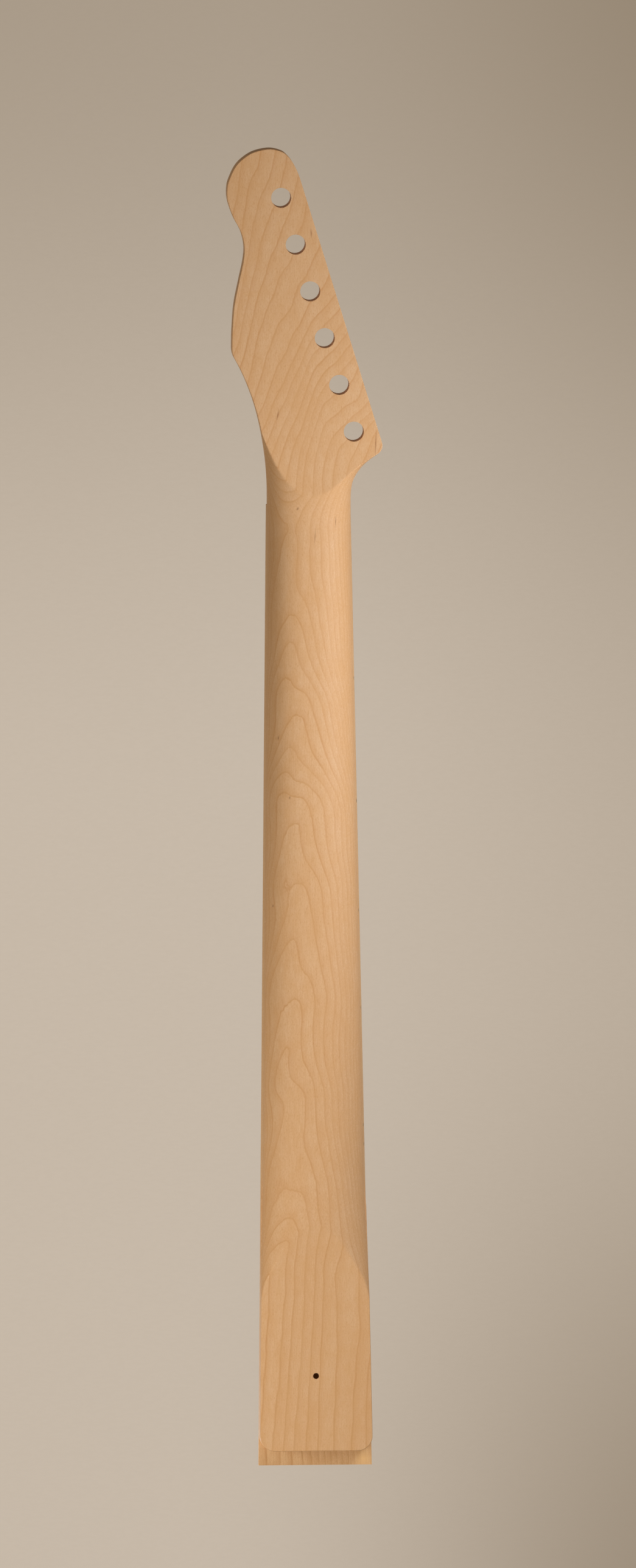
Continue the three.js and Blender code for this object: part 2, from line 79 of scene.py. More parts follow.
# Shape of the maple blank
NUT_WIDTH = 42.1 * MM
SIDE_SLANT = math.radians(8)
NUT_SIDE_SLANT = math.radians(2)
SLANT_FADE_HEEL = 42 * MM
SLANT_FADE_NUT = 26 * MM
HEEL_CORNER_RADIUS = 7.5 * MM
SQUARE_HEEL_Z = HEEL_END_Z + 84 * MM
HEEL_SWEEP_Z = HEEL_END_Z + 143.8 * MM
HEEL_EDGE_DIVE = 0.5
SHAFT_DEPTH_NUT = 14.4 * MM
SHAFT_DEPTH_HEEL = 16.4 * MM
PROFILE_RISE = 3.5 * MM
PROFILE_EXPONENT = 2.3
SWEEP_START = 14 * MM
SWEEP_SOFTNESS = 27 * MM
SWEEP_SLOPE = 0.5
SWEEP_LEAN = 0.28
SWEEP_DIVE = 0.28
TREBLE_SPREAD, TREBLE_SPREAD_RUN = 5.2 * MM, 45 * MM
BASS_SPREAD, BASS_SPREAD_RUN = 15.3 * MM, 27 * MM
WING = 2 * MM
CREASE_SOFTNESS = 0.08 * MM

# Headstock
HEADSTOCK_LENGTH = 178.2 * MM
HEADSTOCK_WIDTH = 76 * MM
SETBACK = 1.5 * MM
HEADSTOCK_THICKNESS = 14.35 * MM
FACE_Y = SETBACK + HEADSTOCK_THICKNESS
SHELF_INSET = 0.2 * MM
SHELF_LENGTH = 5.6 * MM
SHELF_Y = GLUE_Y - 0.3 * MM
FACE_SWEEP_RADIUS = 12 * MM
EDGE_ROUND = 0.35 * MM
FACE_ROUND = 0.8 * MM
TREBLE_FLANK_SHARES = (
    (-0.275, 0.052), (-0.286, 0.126), (-0.311, 0.2), (-0.345, 0.266),
    (-0.387, 0.322), (-0.437, 0.374), (-0.487, 0.415),
)
HIP_CORNER_SHARES = ((-0.505, 0.429), (-0.503, 0.447))
BULB_SHARES = (
    (-0.5, 0.49), (-0.486, 0.563), (-0.454, 0.63), (-0.424, 0.689), (-0.418, 0.729), (-0.44, 0.77),
    (-0.488, 0.81), (-0.525, 0.858), (-0.526, 0.896), (-0.506, 0.923), (-0.474, 0.95),
    (-0.429, 0.971), (-0.354, 0.991), (-0.25, 1), (-0.166, 0.992), (-0.121, 0.976),
    (-0.091, 0.958), (-0.067, 0.937),
)
BASS_EDGE_TOP_SHARE = (-0.05, 0.918)
BASS_CORNER_SHARE = (0.489, 0.158)
THROAT_SHARES = ((0.371, 0.12), (0.32, 0.095), (0.286, 0.066), (0.275, 0.035))
CORNER_REACH = 0.022 * HEADSTOCK_LENGTH

# Holes and slots in the maple
TUNER_HOLE_RADIUS = 5 * MM
TUNER_COUNT = 6
TUNER_EDGE_DISTANCE = 11.8 * MM
FIRST_TUNER_FROM_CORNER = 12.9 * MM
LAST_TUNER_FROM_TOP = 6.6 * MM
JIG_HOLE_RADIUS = 1.5 * MM
JIG_HOLE_DEPTH = 8 * MM
JIG_HOLE_Z = HEEL_END_Z + 37.4 * MM
CHANNEL_WIDTH = 6.5 * MM
CHANNEL_DEPTH = 9.6 * MM
CHANNEL_FROM_HEEL_END = 28.2 * MM
ACCESS_WIDTH = 8.6 * MM
ACCESS_FLOOR_Y = 8.4 * MM
ACCESS_REACH = 22 * MM
ACCESS_BEHIND = 13 * MM

# Frets and dots
FRET_COUNT = 22
FRET_WIDTH = 2.4 * MM
FRET_HEIGHT = 1.1 * MM
FRET_BEVEL = 0.9 * MM
FRET_END_SHARE = 0.12
FRET_END_TAPER = 0.35
TANG_THICKNESS = 0.5 * MM
TANG_DEPTH = 1.9 * MM
SLOT_WIDTH = 0.6 * MM
SLOT_DEPTH = 2.3 * MM
FRET_SEAT = 0.05 * MM
FRET_INSET = 0.4 * MM
TANG_INSET = 0.4 * MM
SLOT_INSET = 0.5 * MM
DOT_FRETS = (3, 5, 7, 9, 12, 15, 17, 19, 21)
DOUBLE_DOT_FRET = 12
# The radius and depth of each kind of dot, and the steps round it
DOT_KINDS = {"face": (3.125 * MM, 2 * MM, 28), "side": (0.95 * MM, 2.5 * MM, 20)}
DOUBLE_FACE_DOT_SPACING = 26 * MM
DOUBLE_SIDE_DOT_SPACING = 9.5 * MM
DOT_CLEARANCE = 0.05 * MM
DOT_INSET = 0.03 * MM

# Truss rod adjuster
ADJUSTER_CHAMFER = 0.5 * MM
ADJUSTER_SOCKET_WIDTH = 4 * MM
ADJUSTER_SOCKET_DEPTH = 6 * MM
ADJUSTER_BORE_DEPTH = 3 * MM
ADJUSTER_BORE_RADIUS = 2.35 * MM

# The growth rings of the neck's maple
RING_SPACING = 2.1 * MM
RING_LEAN = 0.36
RING_FACE = 0.93

# In millimetres, a wave has its height and how far it runs along and across the neck in one
# radian, a bell its middle and its reach, and a fade or blend its start and its end. The board's
# leans are how much of a step across, through and along it goes through its sheets.
LONG_WAVE = (0.55, 17, 8)
SHORT_WAVE = (0.7, 7.5, -4)
SHORT_WAVE_FADE = (2, -14)
LEAN_EASE, LEAN_EASE_Z = 0.35, (265, 45)
SWELL_HEIGHT, SWELL_X, SWELL_Z = 1.3, (-16, 9), (430, 18)
NECK_RIPPLES = ((0.05, 9, 1.9), (1, 7, -5))
BOARD_RIPPLES = ((0.5, 37, 8), (0.25, 13, -5))
BOARD_LEANS = (0.5, 0.9, 0.035)
BOARD_BOW, BOARD_BOW_X = 0.005, -4

# Where the heel's rings give way to the shaft's along z, and the shaft's to the headstock's
HEEL_BLEND = (60, 105)
HEAD_BLEND = (-30, 12)

# Heights of the arches' tops on the shaft, by their count, and the count past both ends
ARCHES = {
    425: -0.65, 409: -0.42, 390: 0, 377.5: 1, 359.5: 2, 341.5: 3, 324: 4, 312.5: 5, 303: 6, 289: 7,
    260: 8, 229.5: 9, 200: 10, 176: 11, 108.5: 12,
}

# Where growth lines cross the flat of the heel and of the headstock's back, in millimetres: for
# each height above the origin or the nut, the count of the first line and the x of each
HEEL_LINES = {
    54.8: (0, -23.2, -14.8, -10.4, -5.5, -0.2, 3.8, 9.6, 21.7),
    33.8: (0, -24.6, -16.7, -12.1, -6.6, -1.6, 2.5, 10.4, 22.6),
    10: (0, -26.2, -18.1, -14, -8.7, -3.1, 1.2, 9.6, 19.3),
    -23.4: (0, -28.8, -21.8, -16.6, -11.7, -5.1, 0.4, 7.9, 17.3, 24.3),
}
HEAD_LINES = {
    14: (13, -11.6, -6.7, -3.7, 1.5, 6.3, 10.9, 17.5),
    28: (11, -17.8, -14.2, -8.4, -4.8, -1.2, 3.1, 8.8, 13.4, 23.1),
    40: (9, -22.6, -17.8, -13.2, -8.4, -3.2, -0.2, 2.6, 7.1, 17.1),
    52: (8, -21.9, -17.7, -12.5, -8, -3.7, 1.1, 3.5, 6.6, 24.8),
    64: (7, -24, -17.6, -11.5, -7.3, -3.3, 0.3, 5.8, 11.2, 21.8),
    77: (5, -31.8, -27.5, -20.8, -11.1, -5.4, -1.7, 2.5, 12.2),
    89: (3, -35.9, -33.5, -28.9, -24.4, -15.9, -4.7, -0.1, 6.5, 15.3),
    101: (3, -34.6, -31, -26.7, -20.1, -7, 0.9, 10.3, 17.5),
    113: (3, -31.8, -28.2, -22.1, -15.4, -3.6, 12.5),
    125: (3, -29.9, -25, -18.7, -7.5, 4.1),
    137: (2, -32.8, -28, -22.2, -12.8, -5, 11.7),
    150: (1, -36.1, -31.2, -25.2, -17, -8.5, -0.9),
    162: (1, -34.2, -28.7, -19.6, -12.7, -4.8),
    174: (1, -32.6, -22.9, -16.2, -10.2),
}
HEEL_COUNT = 15
HEAD_COUNT = 15

# The table of counts over a flat, in millimetres: its range of x, how far it reaches past the
# outer heights, how far past the outer lines the count goes on, and by how much for each line.
# Then the width of the bell curve that averages it, along and across.
TABLE_ACROSS = (-70.0, 121.0)
TABLE_PAST = 12
LINES_PAST = 200
LINE_GAP = 5.8
SMOOTH_ALONG, SMOOTH_ACROSS = 4, 1

# Marks in the wood, and on the board a painted pool of light: x, y and z of the middle, width and length
# in millimetres, turn in degrees
BLANK_MARKS = (
    (-15.6, 1.5, 491.2, 1.4, 8, -12),
    (1.6, 1.5, 581.6, 1.2, 8, 3),
    (2.6, 4.7, 430.2, 0.8, 11, -3),
    (13, 7, 437.5, 0.8, 9, -2),
    (-6, 3.7, 444.2, 1.8, 3, -35),
    (-16.2, 8.6, 329.8, 1.3, 4, 0),
    (-10.9, 5.4, 300.2, 1.2, 2.6, 0),
    (-19.4, 10.4, 246.1, 1.2, 2.4, 0),
    (33, 1.5, 476.5, 1.1, 22, -3),
)
# A painted pool of light, where a lamp reaches the board's bass corner past the heel
BOARD_LIGHT_POOLS = ((24, 19, -30, 16, 18, 0),)
MARK_AND_LIGHT_POOL_DEPTH = 5 * MM

# A growth line's reach ahead of its place and after it, and how far it strays, in counts. Then
# how many radians the fine rings' wave runs on from one line to the next, and the least pace, in
# counts to the metre, that a line's reach is worked out with.
LINE_BEFORE, LINE_AFTER = 0.85 * MM, 0.45 * MM
LINE_WANDER = 0.16
FINE_RINGS = 31
SLOWEST_PACE = 40

# How far cutters reach past a surface and close rows past a corner, which is also how tall a wall
# is where its edge is fully rounded. Then how near an edge has to be to round a point.
OVERRUN = 2 * MM
NEAR_EDGE = 4 * MM

# The stage
FLOOR_Z, FLOOR_RADIUS = -0.5, 2.6
WALL_SWEEP, WALL_TOP = 1.2, 3.0
CAMERA_DISTANCE = 2.1
PICTURE_HEIGHT = 779.5 * MM
PICTURE_CENTRE = (3.6 * MM, 15 * MM, NUT_Z - 139.1 * MM)
# Each lamp's place, aim, width, power and colour
LAMPS = {
    "lamp_bass": ((0.3, -0.27, 0.38), (0, 0, 0.38), 0.22, 1.2, (1, 1, 1)),
    "lamp_head": ((0.25, -0.5, 0.72), (0, 0, 0.58), 0.22, 0.5, (1, 0.93, 0.81)),
    "lamp_treble": ((-0.36, -0.24, 0), (0, 0, 0), 0.22, 0.7, (1, 0.93, 0.8)),
    "lamp_heel": ((-0.2, -0.42, -0.24), (0, 0, -0.02), 0.22, 0.72, (1, 0.93, 0.8)),
    "lamp_front": ((-0.12, 1.3, -0.35), (0, 0, 0.25), 0.6, 6, (1, 1, 1)),
}


# Shape functions

def smooth_share(low, high, value):
    """A share that eases from 0 at low to 1 at high, as 3t2 - 2t3."""
    t = np.clip((value - low) / (high - low), 0, 1)
    return t * t * (3 - 2 * t)


def soft_max(a, b, softness):
    """The larger of two heights, with the crease between them rounded."""
    return (a + b + np.sqrt((a - b) ** 2 + softness ** 2)) / 2


def curve_through(points, steps=10):
    """Points on a smooth curve through the given ones.

    Each stretch is the cubic whose slope at a point is half the step between its neighbours.
    """
    p = np.array(points, float)
    padded = np.vstack([p[:1], p, p[-1:]])
    t = np.linspace(0, 1, steps, endpoint=False)[None, :, None]
    p0, p1, p2, p3 = (padded[i:len(padded) - 3 + i, None, :] for i in range(4))
    slope_in, slope_out = (p2 - p0) / 2, (p3 - p1) / 2
    curve = (
        (2 * p1 - 2 * p2 + slope_in + slope_out) * t ** 3
        + (-3 * p1 + 3 * p2 - 2 * slope_in - slope_out) * t ** 2
        + slope_in * t + p1
    )
    return np.vstack([curve.reshape(-1, 2), p[-1:]])


def corner_curve(start, corner, end, steps=10):
    """A parabola from start to end that heads for the corner at both ends."""
    t = np.linspace(0, 1, steps + 1)[:, None]
    return (1 - t) ** 2 * start + 2 * t * (1 - t) * corner + t ** 2 * end


def outline_point(share):
    return np.array([share[0] * HEADSTOCK_WIDTH, NUT_Z + share[1] * HEADSTOCK_LENGTH])


def unit(vector):
    return vector / np.linalg.norm(vector)


def headstock_outline():
    """The headstock's outline from the nut's bass end, round the tip, to its treble end."""
    shelf_half = NUT_WIDTH / 2 - SHELF_INSET
    corner, edge_top = outline_point(BASS_CORNER_SHARE), outline_point(BASS_EDGE_TOP_SHARE)
    throat = [outline_point(p) for p in reversed(THROAT_SHARES)]
    corner_from = corner + unit(throat[-1] - corner) * CORNER_REACH
    corner_to = corner + unit(edge_top - corner) * CORNER_REACH
    hip, hip_from = (outline_point(p) for p in HIP_CORNER_SHARES)
    bulb = [outline_point(p) for p in reversed(BULB_SHARES)]
    flank = [outline_point(p) for p in reversed(TREBLE_FLANK_SHARES)]
    return np.vstack([
        curve_through([(shelf_half, NUT_Z), *throat, corner_from]),
        corner_curve(corner_from, corner, corner_to)[1:],
        curve_through([edge_top, *bulb, hip_from]),
        corner_curve(hip_from, hip, flank[0])[1:],
        curve_through([*flank, (-shelf_half, NUT_Z)])[1:],
    ])


OUTLINE = headstock_outline()
OUTLINE_TOP = int(OUTLINE[:, 1].argmax())


def board_half(z):
    """Half the board's width at the top of its sides, tapering evenly from end to nut."""
    share = np.minimum((z - BOARD_END_Z) / BOARD_LENGTH, 1)
    return (BOARD_END_WIDTH + (NUT_WIDTH - BOARD_END_WIDTH) * share) / 2


def crown_drop(x, radius):
    """How far a face of this radius lies under its crown, x from the middle."""
    return radius - np.sqrt(radius ** 2 - x ** 2)


def slant(z):
    """The lean of the board's sides: none at the heel, most along the shaft."""
    from_heel = smooth_share(SQUARE_HEEL_Z, SQUARE_HEEL_Z + SLANT_FADE_HEEL, z)
    from_nut = 1 - smooth_share(NUT_Z - SLANT_FADE_NUT, NUT_Z, z)
    return from_heel * (NUT_SIDE_SLANT + (SIDE_SLANT - NUT_SIDE_SLANT) * from_nut)


def side_height(z, radius):
    return BOARD_THICKNESS - crown_drop(board_half(z), radius)


def glue_half(z, radius):
    """Half the width of the glue line."""
    return board_half(z) - side_height(z, radius) * np.tan(slant(z))


def side_spread(side, z):
    """How far the round back widens above the nut: as a square, or a cube on the bass side."""
    rise = np.maximum(z - NUT_Z, 0)
    treble = TREBLE_SPREAD * np.minimum(rise / TREBLE_SPREAD_RUN, 1) ** 2
    bass = BASS_SPREAD * np.minimum(rise / BASS_SPREAD_RUN, 1) ** 3
    return np.where(side < 0, treble, bass)


def back_height(x, z, sizes):
    """The depth y of the carved back at any x and z.

    A superellipse under the glue line, less the drop of the two sweeps: a circle's arc towards
    the heel, deeper at the sides, and a hyperbola towards the headstock, steeper on the bass side.
    """
    radius = sizes.board_radius
    across = np.clip(x / (glue_half(z, radius) + side_spread(x, z)), -1, 1)
    to_heel = np.clip((NUT_Z - z) / (NUT_Z - HEEL_SWEEP_Z), 0, 1)
    depth = PROFILE_RISE + SHAFT_DEPTH_NUT + (SHAFT_DEPTH_HEEL - SHAFT_DEPTH_NUT) * to_heel
    edge = (1 - (PROFILE_RISE / depth) ** PROFILE_EXPONENT) ** (1 / PROFILE_EXPONENT)
    round_back = (1 - (np.abs(across) * edge) ** PROFILE_EXPONENT) ** (1 / PROFILE_EXPONENT)
    run = np.clip(HEEL_SWEEP_Z - z, 0, sizes.heel_sweep_radius)
    heel = crown_drop(run, sizes.heel_sweep_radius) * (1 + HEEL_EDGE_DIVE * across ** 4)
    run = np.maximum(z - NUT_Z + SWEEP_START, 0)
    head = SWEEP_SLOPE * (np.hypot(run, SWEEP_SOFTNESS) - SWEEP_SOFTNESS)
    head = head * (1 + SWEEP_LEAN * across + SWEEP_DIVE * across ** 2)
    return GLUE_Y + PROFILE_RISE - depth * round_back - heel - head


def front_height(z):
    """The depth y of the glue face, the nut's shelf, the hollow sweep and the headstock's face."""
    shelf_end = NUT_Z + SHELF_LENGTH
    sweep_run = math.sqrt(FACE_SWEEP_RADIUS ** 2 - (FACE_SWEEP_RADIUS - SHELF_Y + FACE_Y) ** 2)
    run = np.clip(shelf_end + sweep_run - z, 0, sweep_run)
    swept = FACE_Y + crown_drop(run, FACE_SWEEP_RADIUS)
    front = np.where(z < shelf_end, SHELF_Y, swept)
    return np.where(z < NUT_Z, GLUE_Y, front)


def side_edges(z, sizes):
    """The x of the treble and bass edges at each z."""
    half = glue_half(z, sizes.board_radius)
    wing = WING * (1 - smooth_share(SQUARE_HEEL_Z, HEEL_SWEEP_Z, z))
    half = np.minimum(half + wing, board_half(z))
    into_corner = np.clip(HEEL_END_Z + HEEL_CORNER_RADIUS - z, 0, HEEL_CORNER_RADIUS)
    half = half - crown_drop(into_corner, HEEL_CORNER_RADIUS)
    bass = np.interp(z, OUTLINE[:OUTLINE_TOP + 1, 1], OUTLINE[:OUTLINE_TOP + 1, 0])
    treble = np.interp(z, OUTLINE[:OUTLINE_TOP - 1:-1, 1], OUTLINE[:OUTLINE_TOP - 1:-1, 0])
    return np.where(z < NUT_Z, -half, treble), np.where(z < NUT_Z, half, bass)


def edge_distance(x, z, treble, bass):
    """How far each point of a row lies inside the outline, measured to its nearest stretch."""
    rows = z[:, 0]
    edge = np.vstack([
        np.column_stack([treble, rows]),
        np.column_stack([bass, rows])[::-1],
    ])
    start, step = edge, np.roll(edge, -1, axis=0) - edge
    square = np.maximum((step ** 2).sum(axis=1), np.finfo(float).tiny)
    nearest = np.empty(x.shape)
    for i in range(len(rows)):
        near = np.abs(start[:, 1] - rows[i]) < NEAR_EDGE
        points = np.column_stack([x[i], np.full(x.shape[1], rows[i])])
        offset = points[:, None] - start[near]
        along = np.clip((offset * step[near]).sum(-1) / square[near], 0, 1)
        gap = offset - along[..., None] * step[near]
        nearest[i] = np.sqrt((gap ** 2).sum(-1)).min(axis=1)
    return nearest


def round_over(distance, radius):
    """How far a quarter-round edge of this radius drops, this far inside the edge."""
    return crown_drop(np.clip(radius - distance, 0, radius), radius)


def blank_rows():
    """Places along the neck, close together where the shape turns."""
    corner = HEEL_CORNER_RADIUS * (1 - np.cos(np.linspace(0, math.pi / 2, 15)))
    tip_run, hollow_end = 20 * MM, NUT_Z + 46 * MM
    tip = TIP_Z - tip_run * (1 - np.cos(np.linspace(math.pi / 2, 0, 27)))
    # Each stretch's start, end and the step between its rows
    stretches = (
        (HEEL_END_Z + HEEL_CORNER_RADIUS, SQUARE_HEEL_Z - OVERRUN, 1.7 * MM),
        (SQUARE_HEEL_Z - OVERRUN, HEEL_SWEEP_Z + OVERRUN, 0.75 * MM),
        (HEEL_SWEEP_Z + OVERRUN, NUT_Z - SLANT_FADE_NUT, 1.9 * MM),
        (NUT_Z - SLANT_FADE_NUT, NUT_Z, 0.7 * MM),
        (NUT_Z, hollow_end, 0.62 * MM),
        (hollow_end, TIP_Z - tip_run, 1.15 * MM),
    )
    places = [HEEL_END_Z + corner[:-1]]
    for low, high, step in stretches:
        places.append(np.linspace(low, high, max(round((high - low) / step), 1), endpoint=False))
    step_at_nut = [NUT_Z - 0.1 * MM * MM]
    return np.unique(np.concatenate([*places, tip, step_at_nut]))


def blank_surface(sizes, back_steps=96, wall_steps=4, front_steps=40):
    """Closed rings across the neck, one for each place along it.

    A ring runs over the back from the treble to the bass edge, up the bass side, over the front
    and down the treble side. Its points stand where even steps of an angle put them.
    """
    z = blank_rows()
    treble, bass = side_edges(z, sizes)
    middle, half = (treble + bass) / 2, (bass - treble) / 2
    angle = np.linspace(math.pi, 0, back_steps + 1)
    across = np.sign(np.cos(angle)) * np.abs(np.cos(angle)) ** (2 / PROFILE_EXPONENT)
    x_back = middle[:, None] + across * half[:, None]
    z_back = np.broadcast_to(z[:, None], x_back.shape)
    plane = np.where(z < NUT_Z / 2, BLANK_LOW.y, SETBACK)[:, None]
    back = soft_max(back_height(x_back, z_back, sizes), plane, CREASE_SOFTNESS)
    front = front_height(z)[:, None]
    wall = np.clip((front - back[:, [0, -1]].max(axis=1)[:, None]) / OVERRUN, 0, 1)
    back = back + wall * round_over(edge_distance(x_back, z_back, treble, bass), EDGE_ROUND)
    back = np.minimum(back, front)
    angle = np.linspace(0, math.pi, front_steps + 1)
    x_front = middle[:, None] + np.cos(angle) * half[:, None]
    z_front = np.broadcast_to(z[:, None], x_front.shape)
    rounded = round_over(edge_distance(x_front, z_front, treble, bass), FACE_ROUND)
    front = front - np.where(z_front > NUT_Z, rounded, 0)
    t = np.linspace(0, 1, wall_steps + 1)[1:-1]
    up = back[:, -1:] * (1 - t) + front[:, :1] * t
    down = front[:, -1:] * (1 - t) + back[:, :1] * t
    up_x, down_x = (np.repeat(side[:, None], len(t), 1) for side in (bass, treble))
    x = np.hstack([x_back, up_x, x_front, down_x])
    y = np.hstack([back, up, front, down])
    return np.stack([x, y, np.broadcast_to(z[:, None], x.shape)], axis=-1)


def board_surface(sizes, row_step=2.2 * MM, face_steps=44):
    """Closed rings across the fingerboard: flat below, slanted sides, and an arc of its radius."""
    radius = sizes.board_radius
    rows = round(BOARD_LENGTH / row_step)
    z = np.linspace(BOARD_END_Z, NUT_Z, rows + 1)[:, None]
    half, glue = board_half(z), glue_half(z, radius)
    edge = np.linspace(0, 1, 5)
    side_y = GLUE_Y + (side_height(z, radius) - sizes.board_edge_round) * edge
    side_x = glue + (half - glue) * edge
    turn = np.linspace(0, math.pi / 2, 5)[1:]
    turn_x = half - sizes.board_edge_round * (1 - np.cos(turn))
    turn_y = side_y[:, -1:] + sizes.board_edge_round * np.sin(turn)
    inner = half - sizes.board_edge_round
    face_x = inner * np.linspace(1, -1, face_steps + 1)[1:-1]
    face_y = BOARD_TOP_Y - crown_drop(face_x, radius)
    lift = (BOARD_TOP_Y - crown_drop(inner, radius)) - turn_y[:, -1:]
    turn_y = turn_y + lift * np.sin(turn) ** 2
    under_x = glue * np.linspace(-1, 1, 9)[:-1]
    x = np.hstack([under_x, side_x, turn_x, face_x, -turn_x[:, ::-1], -side_x[:, :0:-1]])
    under_y = np.broadcast_to(np.array([[GLUE_Y]]), under_x.shape)
    y = np.hstack([under_y, side_y, turn_y, face_y, turn_y[:, ::-1], side_y[:, :0:-1]])
    return np.stack([x, y, np.broadcast_to(z, x.shape)], axis=-1)


def fret_distance(number, sizes):
    """From the nut to a fret: each stands a twelfth of an octave further up the scale."""
    return sizes.scale_length * (1 - 2 ** (-number / 12))


def fret_surface(number, sizes, bead_steps=14, span_steps=22):
    """A T-shaped section carried across the board along the arc of its face.

    The bead is half an ellipse. Its height follows a quarter ellipse at the two rounded ends,
    which stop short of the board's sides, and the tang stops a little before them.
    """
    z = NUT_Z - fret_distance(number, sizes)
    half = float(board_half(z)) - FRET_INSET
    end = half - FRET_BEVEL
    turn = np.linspace(0, math.pi / 2, 6)
    into_end = end + FRET_BEVEL * np.sin(turn[:-1] + (turn[1] - turn[0]))
    span = np.linspace(-end, end, span_steps + 1)
    x = np.concatenate([-into_end[::-1], span, into_end])[:, None]
    past = np.clip((np.abs(x) - end) / FRET_BEVEL, 0, 1)
    crown = FRET_HEIGHT * (FRET_END_SHARE + (1 - FRET_END_SHARE) * np.sqrt(1 - past ** 2))
    base = BOARD_TOP_Y - crown_drop(x, sizes.board_radius) + FRET_SEAT
    angle = np.linspace(0, math.pi, bead_steps + 1)
    bead_y = base + crown * np.sin(angle)
    bead_z = z - FRET_WIDTH / 2 * np.cos(angle) * (1 - FRET_END_TAPER * past ** 3)
    tang_half = TANG_THICKNESS / 2
    tang_y = base - TANG_DEPTH * np.array([0, 1, 1, 0])
    tang_z = z + tang_half * np.array([1, 1, -1, -1]) + 0 * x
    lean = float(np.tan(slant(z)))
    y = np.hstack([bead_y, tang_y])
    depth = np.clip(base - y, 0, TANG_DEPTH)
    x_all = np.broadcast_to(x, y.shape) - np.sign(x) * depth * lean * (np.abs(x) / half)
    x_all[:, bead_steps + 1:] *= 1 - TANG_INSET / half
    return np.stack([x_all, y, np.hstack([bead_z, tang_z])], axis=-1)


def full_turn(steps):
    return np.linspace(0, 2 * math.pi, steps, endpoint=False)


def disc_surface(radius, depth, steps=28):
    """Rings of a short round peg along -Y from its face at y = 0, its rim softly rounded."""
    rim = 0.12 * MM
    turn = np.linspace(0, math.pi / 2, 4)
    rings = [(radius * t, 0.0) for t in (0.02, 0.35, 0.7)]
    rings += [(radius - rim + rim * math.sin(a), -rim + rim * math.cos(a)) for a in turn]
    rings += [(radius, -depth), (radius * 0.5, -depth), (radius * 0.02, -depth)]
    angle = full_turn(steps)
    r, y = (np.array(values)[:, None] for values in zip(*rings))
    return np.stack([r * np.cos(angle), y + 0 * angle, r * np.sin(angle)], axis=-1)


def turned_surface(profile, steps=64):
    """A profile of radius and height turned round the Z axis."""
    angle = full_turn(steps)
    r, z = (np.array(values)[:, None] for values in zip(*profile))
    return np.stack([r * np.cos(angle), r * np.sin(angle), z + 0 * angle], axis=-1)


# Mesh building

def tube_mesh(name, rings, capped):
    """A mesh from a grid of points: rows of rings, with the first and last ring capped or open."""
    rows, around = rings.shape[:2]
    index = np.arange(rows * around).reshape(rows, around)
    after = np.roll(index, -1, axis=1)
    quads = np.stack([index[:-1], after[:-1], after[1:], index[1:]], axis=-1).reshape(-1, 4)
    caps = [index[0][::-1].tolist(), index[-1].tolist()] if capped else []
    mesh = bpy.data.meshes.new(name)
    mesh.from_pydata(rings.reshape(-1, 3).tolist(), [], quads.tolist() + caps)
    return mesh


def ring_mesh(name, rings):
    """A closed mesh from rows of rings, without doubled points and with its faces outward."""
    mesh = tube_mesh(name, rings, True)
    tidy = bmesh.new()
    tidy.from_mesh(mesh)
    bmesh.ops.remove_doubles(tidy, verts=tidy.verts, dist=MM * MM)
    bmesh.ops.dissolve_degenerate(tidy, edges=tidy.edges, dist=MM * MM / 2)
    bmesh.ops.recalc_face_normals(tidy, faces=tidy.faces)
    if tidy.calc_volume(signed=True) < 0:
        bmesh.ops.reverse_faces(tidy, faces=tidy.faces)
    tidy.to_mesh(mesh)
    tidy.free()
    return mesh


def add_object(name, data):
    item = bpy.data.objects.new(name, data)
    bpy.context.scene.collection.objects.link(item)
    return item


def prism(outline, low_y, high_y):
    """A plate whose outline is drawn across (x) and along (z) the neck, from one y to another."""
    rings = [np.insert(np.array(outline), 1, y, axis=1) for y in (low_y, high_y)]
    return ring_mesh("cutter", np.stack(rings))


def circle(x, z, radius, steps=64):
    angle = full_turn(steps)
    return np.column_stack([x + radius * np.cos(angle), z + radius * np.sin(angle)])


def rounded_slot(width, low_z, high_z, steps=24):
    """A straight slot with half-round ends."""
    up = np.linspace(0, math.pi, steps)
    upper = np.column_stack([np.cos(up), np.sin(up)]) * width / 2 + [0, high_z - width / 2]
    lower = -np.column_stack([np.cos(up), np.sin(up)]) * width / 2 + [0, low_z + width / 2]
    return np.vstack([upper, lower])


def joined(meshes):
    """One mesh holding several that don't touch."""
    whole = bmesh.new()
    for mesh in meshes:
        whole.from_mesh(mesh)
        bpy.data.meshes.remove(mesh)
    mesh = bpy.data.meshes.new("cutters")
    whole.to_mesh(mesh)
    whole.free()
    return mesh


def cut(piece, cutter_mesh):
    """Takes the cutter's space out of a piece and keeps the result as its mesh."""
    cutter = add_object("cutter", cutter_mesh)
    modifier = piece.modifiers.new("cut", "BOOLEAN")
    modifier.operation = "DIFFERENCE"
    modifier.solver = "EXACT"
    modifier.object = cutter
    evaluated = piece.evaluated_get(bpy.context.evaluated_depsgraph_get())
    result = bpy.data.meshes.new_from_object(evaluated)
    piece.modifiers.clear()
    old, piece.data = piece.data, result
    result.name = piece.name
    bpy.data.meshes.remove(old)
    bpy.data.objects.remove(cutter)
    bpy.data.meshes.remove(cutter_mesh)


def finish_piece(piece, material, body, nodes, sharp=50):
    """Shades a piece smoothly but for its sharp edges, hides the imported nodes it stands for, and ties it
    to its body.
    """
    mesh = piece.data
    mesh.materials.clear()
    mesh.materials.append(material)
    mesh.shade_smooth()
    mesh.set_sharp_from_angle(angle=math.radians(sharp))
    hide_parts(*nodes)
    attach(piece, body)


def store_values(mesh, name, values):
    attribute = mesh.attributes.new(name, "FLOAT", "POINT")
    attribute.data.foreach_set("value", values.astype(np.float32))


def vertex_values(mesh, name):
    """The places or the normals of a mesh's vertices, as rows of x, y and z."""
    values = np.empty(len(mesh.vertices) * 3)
    mesh.vertices.foreach_get(name, values)
    return values.reshape(-1, 3).T


